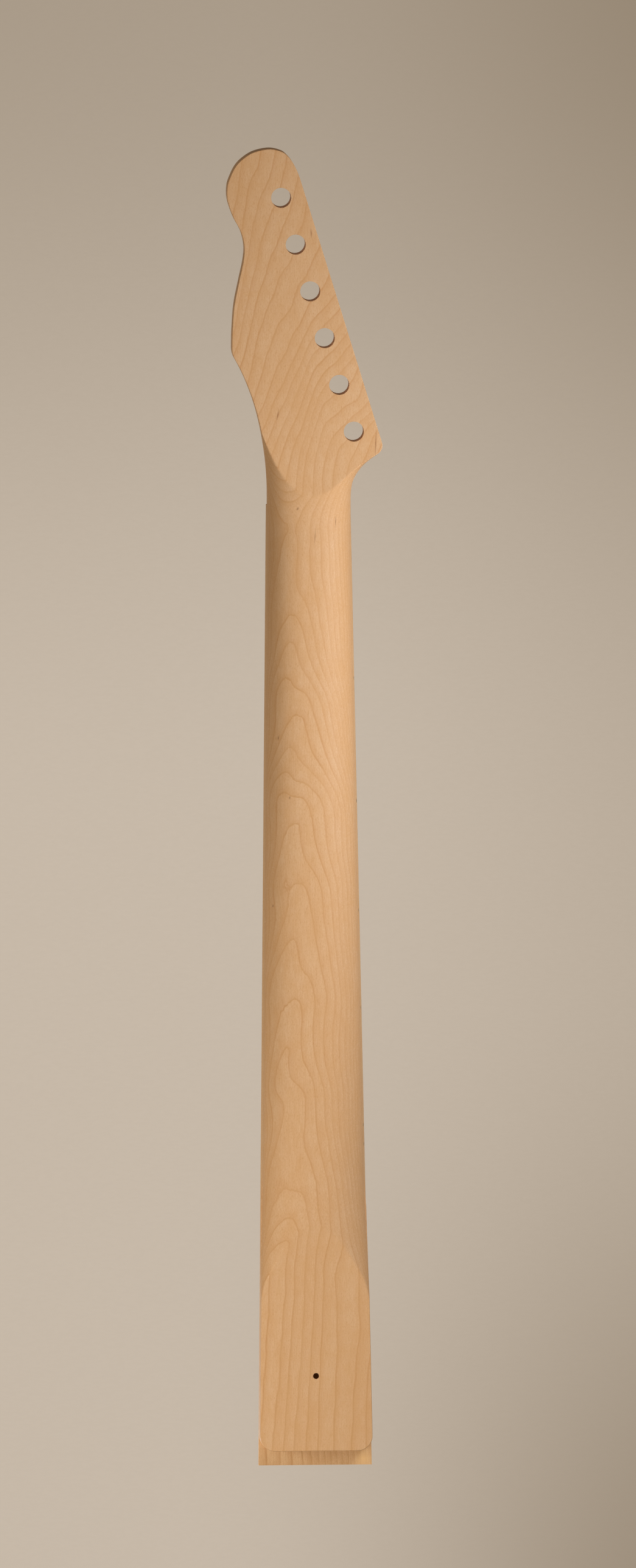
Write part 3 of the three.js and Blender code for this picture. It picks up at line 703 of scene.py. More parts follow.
def smoothed(values, width):
    """A row of values averaged under a bell curve this many steps wide."""
    kernel = np.exp(-0.5 * (np.arange(-3 * width, 3 * width + 1) / width) ** 2)
    padded = np.pad(values, 3 * width, mode="reflect", reflect_type="odd")
    return np.convolve(padded, kernel / kernel.sum(), mode="valid")


def bell(value, middle, reach):
    return np.exp(-((value - middle) / reach) ** 2)


def wave(shape, mx, mz, shift=0.0):
    """A wave from its height and how far it runs along and across in one radian."""
    height, along, across = shape
    return height * np.sin(mz / along + mx / across + shift)


def shaft_sheet(mx, my, mz):
    """How far a point lies through the shaft's sheets of growth, all in millimetres.

    The sheets are nearly flat, face the back and lean to the treble side, a third less halfway
    down. A long wave runs along them, and a shorter one that leans across shows on the treble
    side. One swell lifts them where the treble side runs into the headstock.
    """
    lean = RING_LEAN * (1 - LEAN_EASE * bell(mz, *LEAN_EASE_Z))
    short_wave = smooth_share(*SHORT_WAVE_FADE, mx) * wave(SHORT_WAVE, mx, mz)
    swell = SWELL_HEIGHT * bell(mx, *SWELL_X) * bell(mz, *SWELL_Z)
    return -lean * mx - RING_FACE * my + wave(LONG_WAVE, mx, mz) + short_wave + swell


def arch_count(sizes):
    """The growth count along the neck that puts the top of each arch at its height.

    The sheets stand highest in a cross-section where its back is square to them. That crest is
    taken off a count that rises by one from each arch to the next one down.
    """
    tops = np.array(sorted(ARCHES)) * MM
    z = np.linspace(tops[0], tops[-1], 360)
    x = np.linspace(-NUT_WIDTH / 2, NUT_WIDTH / 2, 161)[:, None]
    back = np.maximum(back_height(x, z[None, :], sizes), 0)
    crest = shaft_sheet(x / MM, back / MM, z / MM).max(axis=0) / (RING_SPACING / MM)
    count = np.interp(z, tops, [ARCHES[height] for height in sorted(ARCHES)])
    return z, smoothed(count - crest, 4)


def line_count(lines, x, z):
    """The count of growth lines over a plane, whole where a line crosses it.

    The count runs evenly from line to line along each row and from row to row, and is then
    averaged under a bell curve. Past the outer lines it goes on by one for each LINE_GAP.
    """
    heights = np.array(sorted(lines), float)
    across = np.arange(*TABLE_ACROSS)
    along = np.arange(heights[0] - TABLE_PAST, heights[-1] + TABLE_PAST)
    rows = []
    for height in sorted(lines):
        first, *places = lines[height]
        counts = first + np.arange(len(places), dtype=float)
        places = [places[0] - LINES_PAST, *places, places[-1] + LINES_PAST]
        more = LINES_PAST / LINE_GAP
        rows.append(np.interp(across, places, [counts[0] - more, *counts, counts[-1] + more]))
    columns = [np.interp(along, heights, column) for column in np.array(rows).T]
    columns = np.array([smoothed(column, SMOOTH_ALONG) for column in columns])
    table = np.array([smoothed(row, SMOOTH_ACROSS) for row in columns.T])
    i = np.clip(z - along[0], 0, len(along) - 1.001)
    j = np.clip(x - across[0], 0, len(across) - 1.001)
    low, left = i.astype(int), j.astype(int)
    i, j = i - low, j - left
    lower = table[low, left] * (1 - j) + table[low, left + 1] * j
    upper = table[low + 1, left] * (1 - j) + table[low + 1, left + 1] * j
    return lower * (1 - i) + upper * i


def neck_growth(x, y, z, sizes):
    """The count of growth rings at a point of the neck's blank, smooth through the wood.

    Along the shaft the count through the sheets makes the arches. At the heel and the headstock
    each sheet goes through its growth line on the flat of the back.
    """
    mx, my, mz = x / MM, y / MM, z / MM
    h = mz - NUT_Z / MM
    heights, counts = arch_count(sizes)
    shaft = np.interp(z, heights, counts) + shaft_sheet(mx, my, mz) / (RING_SPACING / MM)
    on_flat = mx + my * RING_FACE / RING_LEAN
    heel = HEEL_COUNT - line_count(HEEL_LINES, on_flat, mz)
    head = HEAD_COUNT - line_count(HEAD_LINES, on_flat - SETBACK / MM * RING_FACE / RING_LEAN, h)
    in_heel = 1 - smooth_share(*HEEL_BLEND, mz)
    in_head = smooth_share(*HEAD_BLEND, h)
    ripple = wave(NECK_RIPPLES[0], mx, mz) * wave(NECK_RIPPLES[1], mx, mz)
    return shaft * (1 - in_heel - in_head) + heel * in_heel + head * in_head + ripple


def store_growth(piece, growth):
    """Keeps on each vertex the growth count, and how fast it changes over the surface there.

    The pace is the size of the count's slope, found from steps both ways along each axis, less
    its part along the surface's normal.
    """
    mesh, step = piece.data, 0.25 * MM
    points, normals = vertex_values(mesh, "co"), vertex_values(mesh, "normal")
    ways = step * np.eye(3)[:, :, None]
    slope = np.stack([growth(*(points + way)) - growth(*(points - way)) for way in ways]) / (2 * step)
    slope = slope - (slope * normals).sum(axis=0) * normals
    store_values(mesh, "growth", growth(*points))
    store_values(mesh, "pace", np.linalg.norm(slope, axis=0))


def board_growth(x, y, z):
    """The count of growth rings in the board, a strip whose rings run out slowly along it."""
    mx, my, mz = x / MM, y / MM, z / MM
    across, through, along = BOARD_LEANS
    sheet = across * mx + through * my + along * mz + BOARD_BOW * (mx - BOARD_BOW_X) ** 2
    ripple = wave(BOARD_RIPPLES[0], mx, mz) + wave(BOARD_RIPPLES[1], mx, mz, 1)
    return (sheet + ripple) / (RING_SPACING / MM)


# Materials

class Graph:
    """A short way to write a material's nodes."""

    def __init__(self, name):
        self.material = bpy.data.materials.new(name)
        self.material.use_nodes = True
        self.tree = self.material.node_tree
        self.shader = self.tree.nodes["Principled BSDF"]
        self.place = self.node("ShaderNodeTexCoord").outputs["Object"]

    def node(self, kind, *inputs, **settings):
        node = self.tree.nodes.new(kind)
        for name, value in settings.items():
            setattr(node, name, value)
        for i, value in enumerate(inputs):
            self.put(node.inputs[i], value)
        return node

    def put(self, socket, value):
        if isinstance(value, bpy.types.NodeSocket):
            self.tree.links.new(value, socket)
        elif value is not None:
            socket.default_value = value

    def math(self, operation, a, b=0.0, c=0.0, clamp=False):
        return self.node("ShaderNodeMath", a, b, c, operation=operation, use_clamp=clamp).outputs[0]

    def times(self, a, b):
        return self.math("MULTIPLY", a, b)

    def ease(self, value, low, high, to_low=0.0, to_high=1.0):
        """A value that goes softly from one number to another as its input goes from low to high."""
        node = self.node("ShaderNodeMapRange", value, low, high, to_low, to_high)
        node.interpolation_type = "SMOOTHSTEP"
        return node.outputs[0]

    def stretched(self, size, turn=(0, 0, 0)):
        """Object coordinates counted in cells of a size, given in metres along x, y and z."""
        scale = tuple(1 / s for s in size)
        return self.node("ShaderNodeMapping", self.place, (0, 0, 0), turn, scale).outputs[0]

    def noise(self, size, detail=2.0, roughness=0.5, turn=(0, 0, 0)):
        node = self.node("ShaderNodeTexNoise")
        self.put(node.inputs["Vector"], self.stretched(size, turn))
        node.inputs["Scale"].default_value = 1.0
        node.inputs["Detail"].default_value = detail
        node.inputs["Roughness"].default_value = roughness
        return node.outputs["Fac"]

    def mix(self, factor, a, b):
        node = self.node("ShaderNodeMix", data_type="RGBA")
        self.put(node.inputs["Factor"], factor)
        self.put(node.inputs[6], a)
        self.put(node.inputs[7], b)
        return node.outputs[2]

    def bump(self, height, strength, distance):
        node = self.node("ShaderNodeBump")
        node.inputs["Strength"].default_value = strength
        node.inputs["Distance"].default_value = distance
        self.put(node.inputs["Height"], height)
        self.put(self.shader.inputs["Normal"], node.outputs["Normal"])

    def finish(self, color, roughness, **constants):
        self.put(self.shader.inputs["Base Color"], color)
        self.put(self.shader.inputs["Roughness"], roughness)
        for name, value in constants.items():
            self.shader.inputs[name.replace("_", " ")].default_value = value
        return self.material


def spot_mask(g, spots):
    """The joint mask of some soft spots, streaks and knots in the wood and painted pools of light: each
    has a place, a width, a length and a turn.
    """
    whole = 0.0
    for x, y, z, width, long, turn in spots:
        middle = (x * MM, y * MM, z * MM)
        centred = g.node("ShaderNodeVectorMath", g.place, middle, operation="SUBTRACT")
        turned = g.node("ShaderNodeVectorRotate", centred.outputs[0], rotation_type="Y_AXIS")
        turned.inputs["Angle"].default_value = math.radians(turn)
        scale = (2 / (width * MM), 1 / MARK_AND_LIGHT_POOL_DEPTH, 2 / (long * MM))
        sized = g.node("ShaderNodeVectorMath", turned.outputs[0], scale, operation="MULTIPLY")
        ball = g.node("ShaderNodeTexGradient", sized.outputs[0], gradient_type="QUADRATIC_SPHERE")
        whole = g.math("MAXIMUM", whole, ball.outputs["Fac"])
    return whole


def ringed_wood(g, bright, dark):
    """The wood's colour with its growth lines, and the pace of its growth count.

    A line is as wide everywhere: its distance is the count's share over the count's pace. Each
    ring has a strength of its own, and lines that crowd together are fainter. The wood darkens
    slowly ahead of each line, and fine rings run between the lines.
    """
    growth = g.node("ShaderNodeAttribute", attribute_name="growth").outputs["Fac"]
    pace = g.node("ShaderNodeAttribute", attribute_name="pace").outputs["Fac"]
    pace = g.math("MAXIMUM", pace, SLOWEST_PACE)
    wander = g.math("SUBTRACT", g.noise((2.4 * MM, 2.4 * MM, 7 * MM), 3, 0.6), 0.5)
    rings = g.math("MULTIPLY_ADD", wander, LINE_WANDER, growth)
    share = g.math("FRACT", rings)
    before = g.math("DIVIDE", g.math("SUBTRACT", 1.0, share), pace)
    after = g.math("DIVIDE", share, pace)
    line = g.math("MAXIMUM", g.ease(before, LINE_BEFORE, 0.0), g.ease(after, LINE_AFTER, 0.0))
    own = g.node("ShaderNodeTexWhiteNoise", noise_dimensions="1D")
    g.put(own.inputs["W"], g.math("FLOOR", g.math("ADD", rings, 0.5)))
    patch = g.ease(g.noise((9 * MM, 9 * MM, 30 * MM), 2), 0.35, 0.65, 0.45, 0.75)
    strength = g.math("MULTIPLY_ADD", own.outputs["Value"], 0.45, patch)
    line = g.times(g.times(line, strength), g.ease(pace, 130, 450, 1.0, 0.35))
    late = g.times(g.ease(before, 4 * MM, 0.0), g.ease(after, 0.0, 1.2 * MM))
    fine = g.math("SINE", g.times(rings, FINE_RINGS))
    color = g.mix(g.times(line, 0.7), bright, dark)
    color = g.mix(g.times(late, 0.26), color, dark)
    return g.mix(g.ease(fine, -1, 1, 0.0, 0.05), color, dark), pace


def maple(name, look, bright, marks_and_light_pools, mark_and_light_pool_color):
    """Bare sanded maple with its growth lines, clouds, fibres, pores, ray flecks and spots of another
    colour: streaks and knots on the neck, a painted pool of light on the board.

    The ray flecks lie across the sheets of growth and show where the count's pace is high.
    Where the fibres end at the surface, as on an end or in a hole's walls, the wood is darker: partly the
    end grain's own colour, partly painted shade in the holes' walls.
    """
    g = Graph(name)
    color, pace = ringed_wood(g, bright, look.wood_line)
    fibre = g.noise((0.3 * MM, 0.3 * MM, 7 * MM), 3, 0.75)
    # Each layer's noise, where it starts and ends, how much of it shows and its colour
    layers = (
        (g.noise((14 * MM, 14 * MM, 70 * MM), 3, 0.55), 0.3, 0.7, 0.3, look.wood_warm),
        (g.noise((5 * MM, 5 * MM, 9 * MM), 3, 0.6), 0.3, 0.7, 0.4, look.wood_warm),
        (fibre, 0.25, 0.75, 0.4, look.wood_line),
        (g.noise((0.28 * MM, 0.28 * MM, 1.1 * MM), 2, 0.6), 0.5, 0.75, 0.6, look.wood_line),
    )
    for noise, start, end, most, other in layers:
        color = g.mix(g.ease(noise, start, end, 0.0, most), color, other)
    lean = (0, 0, math.atan2(RING_LEAN, RING_FACE))
    fleck = g.noise((0.3 * MM, 2.2 * MM, 0.75 * MM), 2, 0.7, lean)
    rays = g.ease(pace, 150, 420, 0.25, 0.55)
    color = g.mix(g.times(g.ease(fleck, 0.48, 0.68), rays), color, look.wood_warm)
    color = g.mix(g.times(g.ease(fleck, 0.44, 0.28), rays), color, look.wood_pale)
    normal = g.node("ShaderNodeSeparateXYZ", g.node("ShaderNodeTexCoord").outputs["Normal"])
    # Darker where the fibres end: partly the end grain's own colour, partly painted shade in the tuner
    # holes' walls
    end_grain_and_shade = g.ease(g.math("ABSOLUTE", normal.outputs["Z"]), 0.6, 1.0, 0.0, 0.55)
    color = g.mix(end_grain_and_shade, color, look.wood_end_and_shade)
    # Colours the wood's streaks and knots, and on the board paints a pool of light
    color = g.mix(g.math("MULTIPLY", spot_mask(g, marks_and_light_pools), 0.85, clamp=True), color, mark_and_light_pool_color)
    g.bump(g.math("ADD", fibre, g.times(fleck, 0.5)), 0.1, 0.05 * MM)
    dull, spread = look.wood_roughness, 0.06
    roughness = g.ease(fibre, 0.2, 0.8, dull - spread, dull + spread)
    return g.finish(color, roughness, Specular_IOR_Level=0.3)


def worn_metal(name, color, dark, roughness, brush):
    """Metal with fine brushing of a size, given along x, y and z, and a few dull spots."""
    g = Graph(name)
    lines = g.noise(brush, 3, 0.7)
    dull = g.ease(g.noise((6 * MM, 6 * MM, 9 * MM), 4, 0.6), 0.45, 0.75)
    tint = g.mix(g.times(dull, 0.5), color, dark)
    tint = g.mix(g.ease(lines, 0.3, 0.7, 0.0, 0.18), tint, dark)
    rough = g.ease(lines, 0.2, 0.8, roughness - 0.05, roughness + 0.07)
    rough = g.math("ADD", rough, g.times(dull, 0.12))
    g.bump(lines, 0.08, 0.02 * MM)
    return g.finish(tint, rough, Metallic=1.0)


def threaded_steel(name, color, dark):
    """Dark steel with a fine screw thread drawn by waves along the rod, as a bump and as painted shade in
    its grooves.
    """
    g = Graph(name)
    place = g.stretched((MM, MM, MM))
    thread = g.node("ShaderNodeTexWave", place, bands_direction="Z", wave_type="BANDS")
    thread.inputs["Scale"].default_value = 0.4
    spots = g.noise((2 * MM, 2 * MM, 2 * MM), 3)
    # Painted shade: the thread's grooves are darker in colour
    tint = g.mix(thread.outputs["Fac"], dark, color)
    tint = g.mix(g.ease(spots, 0.5, 0.8, 0.0, 0.3), tint, dark)
    g.bump(thread.outputs["Fac"], 0.5, 0.2 * MM)
    return g.finish(tint, g.ease(spots, 0.3, 0.7, 0.35, 0.5), Metallic=1.0)


def dot_plastic(name, color):
    """Black inlay plastic, sanded flush with the wood, with faint scratches across it."""
    g = Graph(name)
    cloud = g.noise((1.5 * MM, 1.5 * MM, 1.5 * MM), 2)
    scratches = g.noise((0.12 * MM, 0.5 * MM, 3 * MM), 2, 0.7)
    tint = g.mix(g.ease(cloud, 0.3, 0.8, 0.0, 0.35), color, (0.06, 0.052, 0.045, 1))
    tint = g.mix(g.ease(scratches, 0.6, 0.8, 0.0, 0.25), tint, (0.11, 0.1, 0.09, 1))
    g.bump(scratches, 0.1, 0.02 * MM)
    return g.finish(tint, g.ease(scratches, 0.3, 0.8, 0.3, 0.45))


# Properties

def an_amount(name, description, default, subtype="FACTOR", **limits):
    return bpy.props.FloatProperty(
        name=name, description=description, default=default, subtype=subtype, **limits
    )


def a_length(name, description, default):
    return an_amount(name, description, default, "DISTANCE")


def an_angle(name, description, degrees):
    return an_amount(name, description, math.radians(degrees), "ANGLE")


def a_tint(name, description, default):
    return bpy.props.FloatVectorProperty(
        name=name, description=description, default=default, subtype="COLOR", size=4, min=0, max=1
    )


class NeckSizes(bpy.types.PropertyGroup):
    scale_length: a_length("Scale length", "Sounding length of the open strings", 647.7 * MM)
    board_radius: a_length("Board radius", "Radius of the fingerboard's curved face", 305 * MM)
    board_edge_round: a_length("Board edges", "Radius of the board's long edges", 0.5 * MM)
    heel_sweep_radius: a_length("Heel sweep", "Radius of the arc from the shaft to the heel", 190 * MM)


class NeckFinish(bpy.types.PropertyGroup):
    wood_light: a_tint("Maple", "The maple between its growth lines", (0.83, 0.565, 0.35, 1))
    board_light: a_tint("Board maple", "The same on the fingerboard", (0.98, 0.7, 0.42, 1))
    # The colour of the painted pool of light at the board's bass corner
    board_light_pool: a_tint("Board patch", "The pale patch at the board's bass corner", (1, 0.66, 0.32, 1))
    wood_line: a_tint("Growth lines", "The thin dark lines of the growth rings", (0.62, 0.31, 0.125, 1))
    wood_warm: a_tint("Warm maple", "Warmer clouds and ray flecks in the maple", (0.74, 0.43, 0.2, 1))
    # Darker end grain, partly the maple's own colour and partly painted shade in the holes' walls
    wood_end_and_shade: a_tint("End grain", "The maple where its fibres end at the surface", (0.26, 0.13, 0.06, 1))
    wood_pale: a_tint("Pale maple", "Paler ray flecks in the maple", (0.86, 0.61, 0.385, 1))
    wood_mark: a_tint("Marks", "Mineral streaks and pin knots", (0.27, 0.09, 0.025, 1))
    wood_roughness: an_amount("Wood roughness", "Roughness of the bare maple", 0.58, min=0.1, max=1)
    fret_metal: a_tint("Fret wire", "Nickel silver of the frets", (0.63, 0.6, 0.54, 1))
    dot_black: a_tint("Dots", "Plastic of the position dots", (0.016, 0.014, 0.013, 1))
    rod_steel: a_tint("Truss rod", "Steel of the truss rod and its blocks", (0.3, 0.3, 0.31, 1))


class StageLook(bpy.types.PropertyGroup):
    backdrop: a_tint("Backdrop", "Colour of the floor and backdrop", (0.5, 0.44, 0.375, 1))
    backdrop_shade: a_tint("Backdrop shade", "Its dim side, right and above", (0.23, 0.185, 0.135, 1))
    lamp_share: an_amount("Lamps", "Power of the soft lamps, as a share of their own", 1, min=0, max=4)
    room_light: an_amount("Room light", "Strength of the even light all round", 0.23, min=0, max=2)
    backdrop_glow: an_amount("Backdrop glow", "Share of its own colour it shows unlit", 0.93, min=0, max=1)
    camera_rise: an_angle("Camera rise", "How far above the neck's level the camera looks from", 3.6)
    camera_turn: an_angle("Camera turn", "How far it stands to the bass side of the middle", -2.2)
    camera_roll: an_angle("Camera roll", "How far the neck leans in the picture", -0.4)


# Operators, one for each piece or group of like pieces

def dot_spots(face, sizes):
    """Label, x and z of each dot: midway between two frets, and two dots at the octave."""
    for number in DOT_FRETS:
        z = NUT_Z - (fret_distance(number, sizes) + fret_distance(number - 1, sizes)) / 2
        if number != DOUBLE_DOT_FRET:
            yield f"{number:02d}", 0.0, z
        elif face:
            yield f"{number}_treble", -DOUBLE_FACE_DOT_SPACING / 2, z
            yield f"{number}_bass", DOUBLE_FACE_DOT_SPACING / 2, z
        else:
            yield f"{number}_upper", 0.0, z + DOUBLE_SIDE_DOT_SPACING / 2
            yield f"{number}_lower", 0.0, z - DOUBLE_SIDE_DOT_SPACING / 2


def in_board(rings, face, x, z, radius):
    """Moves an inlay drawn at y = 0 into the board, square to its surface.

    In the face that is a lean about the centre of the face's radius, and in the bass side it is
    the side's own slant.
    """
    lean = -math.asin(x / radius) if face else -math.pi / 2 - float(slant(z))
    cosine, sine = math.cos(lean), math.sin(lean)
    turn = np.array([[cosine, -sine, 0], [sine, cosine, 0], [0, 0, 1]])
    if face:
        centre = np.array([0, BOARD_TOP_Y - radius, z]) + turn @ np.array([0, radius, 0])
    else:
        half, glue = float(board_half(z)), float(glue_half(z, radius))
        centre = np.array([(half + glue) / 2, GLUE_Y + float(side_height(z, radius)) / 2, z])
    return rings @ turn.T + centre


def dot_holes(sizes):
    """Cutters for all the dots, a clearance larger than the dots and open at the surface."""
    meshes = []
    for kind, (radius, depth, _) in DOT_KINDS.items():
        hole = disc_surface(radius + DOT_CLEARANCE, depth + DOT_CLEARANCE + OVERRUN)
        hole = hole + np.array([0, OVERRUN, 0])
        for _, x, z in dot_spots(kind == "face", sizes):
            rings = in_board(hole, kind == "face", x, z, sizes.board_radius)
            meshes.append(ring_mesh("cutter", rings))
    return joined(meshes)


class NECK_OT_blank(bpy.types.Operator):
    """Carves the one-piece maple blank: heel, shaft and headstock"""

    bl_idname = "neck.blank"
    bl_label = "Maple blank"

    def execute(self, context):
        sizes, look = context.scene.neck_sizes, context.scene.neck_finish
        piece = add_object("maple_blank", ring_mesh("maple_blank", blank_surface(sizes)))
        corner, edge_top = outline_point(BASS_CORNER_SHARE), outline_point(BASS_EDGE_TOP_SHARE)
        way = unit(edge_top - corner)
        inward = np.array([-way[1], way[0]])
        row = np.linalg.norm(edge_top - corner) - FIRST_TUNER_FROM_CORNER - LAST_TUNER_FROM_TOP
        along = FIRST_TUNER_FROM_CORNER + row * np.arange(TUNER_COUNT) / (TUNER_COUNT - 1)
        holes = corner + along[:, None] * way + TUNER_EDGE_DISTANCE * inward
        cutters = [prism(circle(x, z, TUNER_HOLE_RADIUS), -OVERRUN, GLUE_Y + OVERRUN) for x, z in holes]
        cutters.append(prism(circle(0, JIG_HOLE_Z, JIG_HOLE_RADIUS, 40), -OVERRUN, JIG_HOLE_DEPTH))
        channel = rounded_slot(
            CHANNEL_WIDTH, HEEL_END_Z + CHANNEL_FROM_HEEL_END, NUT_Z - ACCESS_BEHIND + CHANNEL_WIDTH
        )
        cutters.append(prism(channel, GLUE_Y - CHANNEL_DEPTH, GLUE_Y + OVERRUN))
        cut(piece, joined(cutters))
        access_end = NUT_Z - ACCESS_BEHIND - ACCESS_WIDTH / 2
        access = rounded_slot(ACCESS_WIDTH, access_end, NUT_Z + ACCESS_REACH)
        cut(piece, prism(access, ACCESS_FLOOR_Y, GLUE_Y + 2 * OVERRUN))
        store_growth(piece, lambda x, y, z: neck_growth(x, y, z, sizes))
        material = maple("neck_maple", look, look.wood_light, BLANK_MARKS, look.wood_mark)
        finish_piece(piece, material, "neck", ["neck_blank"])
        return {"FINISHED"}


class NECK_OT_board(bpy.types.Operator):
    """Makes the maple fingerboard with its fret slots and the holes for its dots"""

    bl_idname = "neck.board"
    bl_label = "Fingerboard"

    def execute(self, context):
        sizes, look = context.scene.neck_sizes, context.scene.neck_finish
        piece = add_object("board", ring_mesh("board", board_surface(sizes)))
        slots = []
        for number in range(1, FRET_COUNT + 1):
            z = NUT_Z - fret_distance(number, sizes)
            half = float(board_half(z))
            floor = BOARD_TOP_Y - float(crown_drop(half, sizes.board_radius)) - SLOT_DEPTH
            reach, thick = half - SLOT_INSET, SLOT_WIDTH / 2
            outline = [(-reach, z - thick), (reach, z - thick), (reach, z + thick), (-reach, z + thick)]
            slots.append(prism(outline, floor, BOARD_TOP_Y + OVERRUN))
        cut(piece, joined(slots))
        cut(piece, dot_holes(sizes))
        store_growth(piece, board_growth)
        # The board's pool of light at its bass corner is painted into its colour
        material = maple("board_maple", look, look.board_light, BOARD_LIGHT_POOLS, look.board_light_pool)
        finish_piece(piece, material, "neck", ["fingerboard"])
        return {"FINISHED"}


class NECK_OT_frets(bpy.types.Operator):
    """Bends the frets to the board's radius, with rounded ends"""

    bl_idname = "neck.frets"
    bl_label = "Frets"

    def execute(self, context):
        sizes, look = context.scene.neck_sizes, context.scene.neck_finish
        material = worn_metal(
            "fret_wire", look.fret_metal, (0.3, 0.27, 0.22, 1), 0.3, (0.06 * MM, 0.5 * MM, 0.5 * MM)
        )
        for number in range(1, FRET_COUNT + 1):
            name = f"fret_wire_{number:02d}"
            piece = add_object(name, ring_mesh(name, fret_surface(number, sizes)))
            finish_piece(piece, material, "neck", [f"fret_{number:02d}"], sharp=40)
        return {"FINISHED"}


class NECK_OT_dots(bpy.types.Operator):
    """Sets the black dots into the face and the bass side of the board"""

    bl_idname = "neck.dots"
    bl_label = "Position dots"

    def execute(self, context):
        sizes, look = context.scene.neck_sizes, context.scene.neck_finish
        material = dot_plastic("dot_plastic", look.dot_black)
        for kind, (radius, depth, steps) in DOT_KINDS.items():
            dot = disc_surface(radius, depth - DOT_INSET, steps) - np.array([0, DOT_INSET, 0])
            for label, x, z in dot_spots(kind == "face", sizes):
                name = f"{kind}_inlay_{label}"
                rings = in_board(dot, kind == "face", x, z, sizes.board_radius)
                piece = add_object(name, ring_mesh(name, rings))
                finish_piece(piece, material, "neck", [f"{kind}_dot_{label}"])
        return {"FINISHED"}


class NECK_OT_truss(bpy.types.Operator):
    """Makes the truss rod's adjuster with its six-sided socket, and finishes the hidden pieces"""

    bl_idname = "neck.truss"
    bl_label = "Truss rod"

    def execute(self, context):
        look = context.scene.neck_finish
        low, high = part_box("truss_adjuster")
        radius, span = (high.x - low.x) / 2, high.z - low.z
        chamfer, bore, deep = ADJUSTER_CHAMFER, ADJUSTER_BORE_RADIUS, ADJUSTER_BORE_DEPTH
        profile = (
            (bore * 0.02, deep), (bore, deep), (bore, 0), (radius - chamfer, 0), (radius, chamfer),
            (radius, span - chamfer), (radius - chamfer, span), (radius * 0.02, span),
        )
        centre = np.array([(low.x + high.x) / 2, (low.y + high.y) / 2, low.z])
        barrel = ring_mesh("adjuster_barrel", turned_surface(profile) + centre)
        piece = add_object("adjuster_barrel", barrel)
        flat = ADJUSTER_SOCKET_WIDTH / math.sqrt(3)
        socket = turned_surface(((flat, span - ADJUSTER_SOCKET_DEPTH), (flat, span + OVERRUN)), 6)
        cut(piece, ring_mesh("cutter", socket + centre))
        brush = (MM, MM, 0.1 * MM)
        steel = worn_metal("adjuster_steel", look.rod_steel, (0.1, 0.09, 0.085, 1), 0.38, brush)
        finish_piece(piece, steel, "adjuster", ["truss_adjuster"], sharp=20)
        thread = threaded_steel("threaded_steel", look.rod_steel, (0.06, 0.058, 0.055, 1))
        for node in ("truss_rod", "truss_bar", "truss_block_heel", "truss_block_nut"):
            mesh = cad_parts[node].data
            mesh.materials.clear()
            mesh.materials.append(thread if node == "truss_rod" else steel)
        return {"FINISHED"}


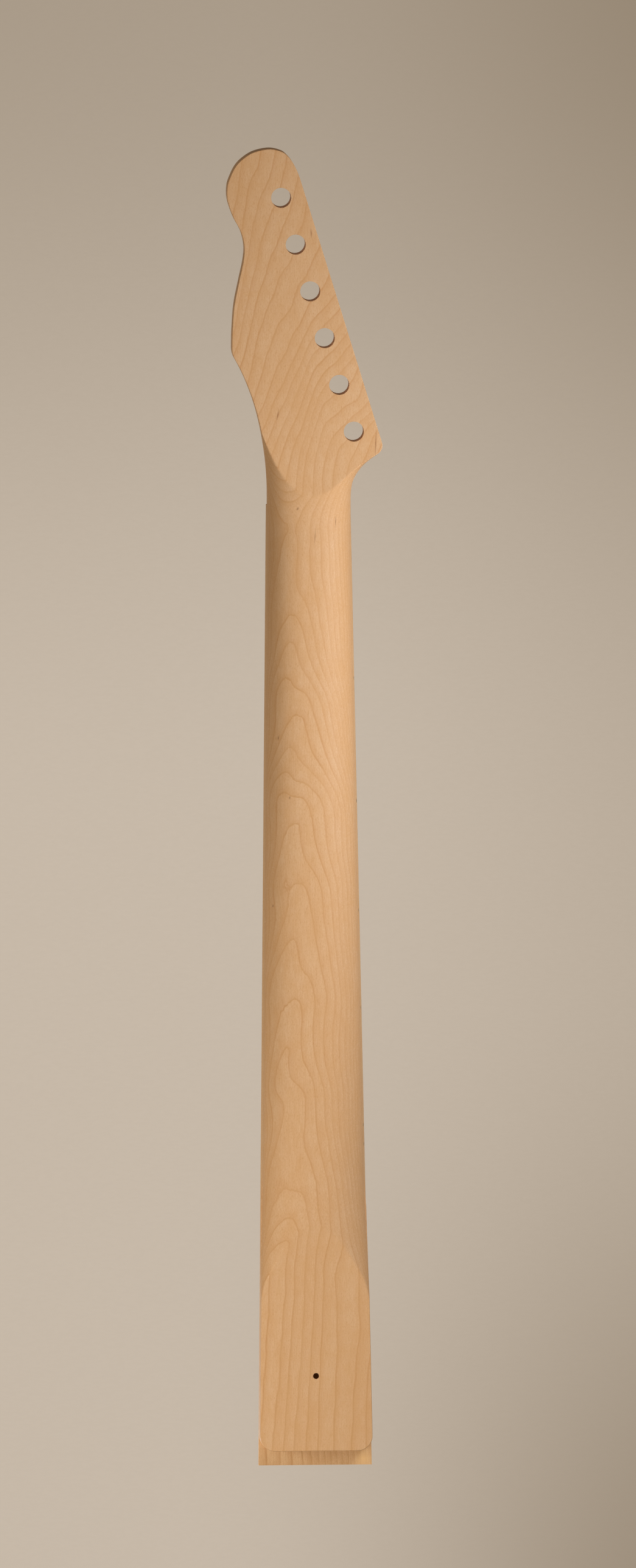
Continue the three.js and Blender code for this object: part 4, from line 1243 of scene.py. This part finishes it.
class NECK_OT_stage(bpy.types.Operator):
    """Sets the pale backdrop, the soft lamps and the camera"""

    bl_idname = "neck.stage"
    bl_label = "Stage"

    def execute(self, context):
        look = context.scene.neck_stage
        self.backdrop(look)
        self.lamps(look)
        self.camera(context, look)
        context.scene.view_settings.view_transform = "Standard"
        return {"FINISHED"}

    def backdrop(self, look):
        """A round floor that sweeps up to a wall: a profile turned about the neck's line."""
        floor, radius, sweep, top = FLOOR_Z, FLOOR_RADIUS, WALL_SWEEP, WALL_TOP
        turn = np.linspace(0, math.pi / 2, 20)
        bowl = [(0.01 * MM, floor), (radius, floor)]
        bowl += [(radius + sweep * math.sin(a), floor + sweep * (1 - math.cos(a))) for a in turn]
        bowl.append((radius + sweep, top))
        mesh = tube_mesh("backdrop", turned_surface(bowl, 96), False)
        mesh.shade_smooth()
        stage = add_object("backdrop", mesh)
        stage.visible_diffuse = stage.visible_shadow = False
        g = Graph("backdrop_cloth")
        soft = g.noise((0.9, 0.9, 0.5), 2)
        weave = g.noise((4 * MM, 4 * MM, 1.5 * MM), 2, 0.6)
        color = g.mix(g.ease(soft, 0.3, 0.7, 0.0, 0.25), look.backdrop, (0.43, 0.37, 0.31, 1))
        color = g.mix(g.ease(weave, 0.3, 0.7, 0.0, 0.06), color, (0.38, 0.33, 0.27, 1))
        x, _, z = g.node("ShaderNodeSeparateXYZ", g.place).outputs
        # Painted shade on the backdrop: darker to the right, most at the bottom right, and darker above
        corner = g.times(g.ease(x, 0.05, 0.32, 0.0, 0.6), g.ease(z, -0.36, 0.0, 1.0, 0.0))
        side = g.math("ADD", corner, g.ease(x, 0.1, 0.4, 0.0, 0.35))
        shade = g.math("ADD", side, g.ease(z, 0.05, 0.5, 0.0, 0.6), clamp=True)
        color = g.mix(shade, color, look.backdrop_shade)
        path = g.node("ShaderNodeLightPath").outputs
        seen = g.math("MAXIMUM", path["Is Camera Ray"], path["Is Glossy Ray"])
        g.put(g.shader.inputs["Emission Color"], color)
        g.put(g.shader.inputs["Emission Strength"], g.times(seen, look.backdrop_glow))
        mesh.materials.append(g.finish(color, 0.9, Specular_IOR_Level=0.1))

    def lamps(self, look):
        for name, (place, aim, width, power, color) in LAMPS.items():
            lamp = bpy.data.lights.new(name, "AREA")
            lamp.shape = "DISK"
            lamp.size = width
            lamp.energy = power * look.lamp_share
            lamp.color = color
            item = add_object(name, lamp)
            item.matrix_world = looking(place, aim)
            item.visible_camera = False
        world = bpy.data.worlds.new("soft_room")
        bpy.context.scene.world = world
        world.use_nodes = True
        background = world.node_tree.nodes["Background"]
        background.inputs["Color"].default_value = (1.0, 0.84, 0.62, 1)
        background.inputs["Strength"].default_value = look.room_light

    def camera(self, context, look):
        """A view of the back, from a little above and to the treble side, without perspective."""
        camera = bpy.data.cameras.new("camera")
        camera.type = "ORTHO"
        camera.ortho_scale = PICTURE_HEIGHT
        item = add_object("camera", camera)
        centre, turn, rise = np.array(PICTURE_CENTRE), look.camera_turn, look.camera_rise
        level = np.array([math.sin(turn), -math.cos(turn), 0]) * math.cos(rise)
        away = level + np.array([0, 0, math.sin(rise)])
        item.matrix_world = looking(centre + away * CAMERA_DISTANCE, centre, look.camera_roll)
        context.scene.camera = item


def looking(place, aim, roll=0.0):
    """The matrix of something at a place that looks at its aim, with its top up, then rolled."""
    way = Vector(aim) - Vector(place)
    turn = way.to_track_quat("-Z", "Y").to_matrix().to_4x4()
    return Matrix.Translation(Vector(place)) @ turn @ Matrix.Rotation(roll, 4, "Z")


class NECK_PT_panel(bpy.types.Panel):
    """Lists the steps that make the neck, and its sizes and finishes"""

    bl_idname = "NECK_PT_panel"
    bl_label = "Guitar neck"
    bl_space_type = "VIEW_3D"
    bl_region_type = "UI"
    bl_category = "Guitar neck"

    def draw(self, context):
        for step in STEPS:
            self.layout.operator(step.bl_idname)
        for group in (context.scene.neck_sizes, context.scene.neck_finish, context.scene.neck_stage):
            column = self.layout.column()
            for name in type(group).__annotations__:
                column.prop(group, name)


STEPS = (NECK_OT_blank, NECK_OT_board, NECK_OT_frets, NECK_OT_dots, NECK_OT_truss, NECK_OT_stage)
GROUPS = {"neck_sizes": NeckSizes, "neck_finish": NeckFinish, "neck_stage": StageLook}


def register():
    for cls in (*GROUPS.values(), *STEPS, NECK_PT_panel):
        bpy.utils.register_class(cls)
    for name, group in GROUPS.items():
        setattr(bpy.types.Scene, name, bpy.props.PointerProperty(type=group))


def unregister():
    for name in GROUPS:
        delattr(bpy.types.Scene, name)
    for cls in reversed((*GROUPS.values(), *STEPS, NECK_PT_panel)):
        bpy.utils.unregister_class(cls)


def main():
    register()
    bpy.ops.neck.blank()
    bpy.ops.neck.board()
    bpy.ops.neck.frets()
    bpy.ops.neck.dots()
    bpy.ops.neck.truss()
    bpy.ops.neck.stage()


if __name__ == "__main__":
    main()
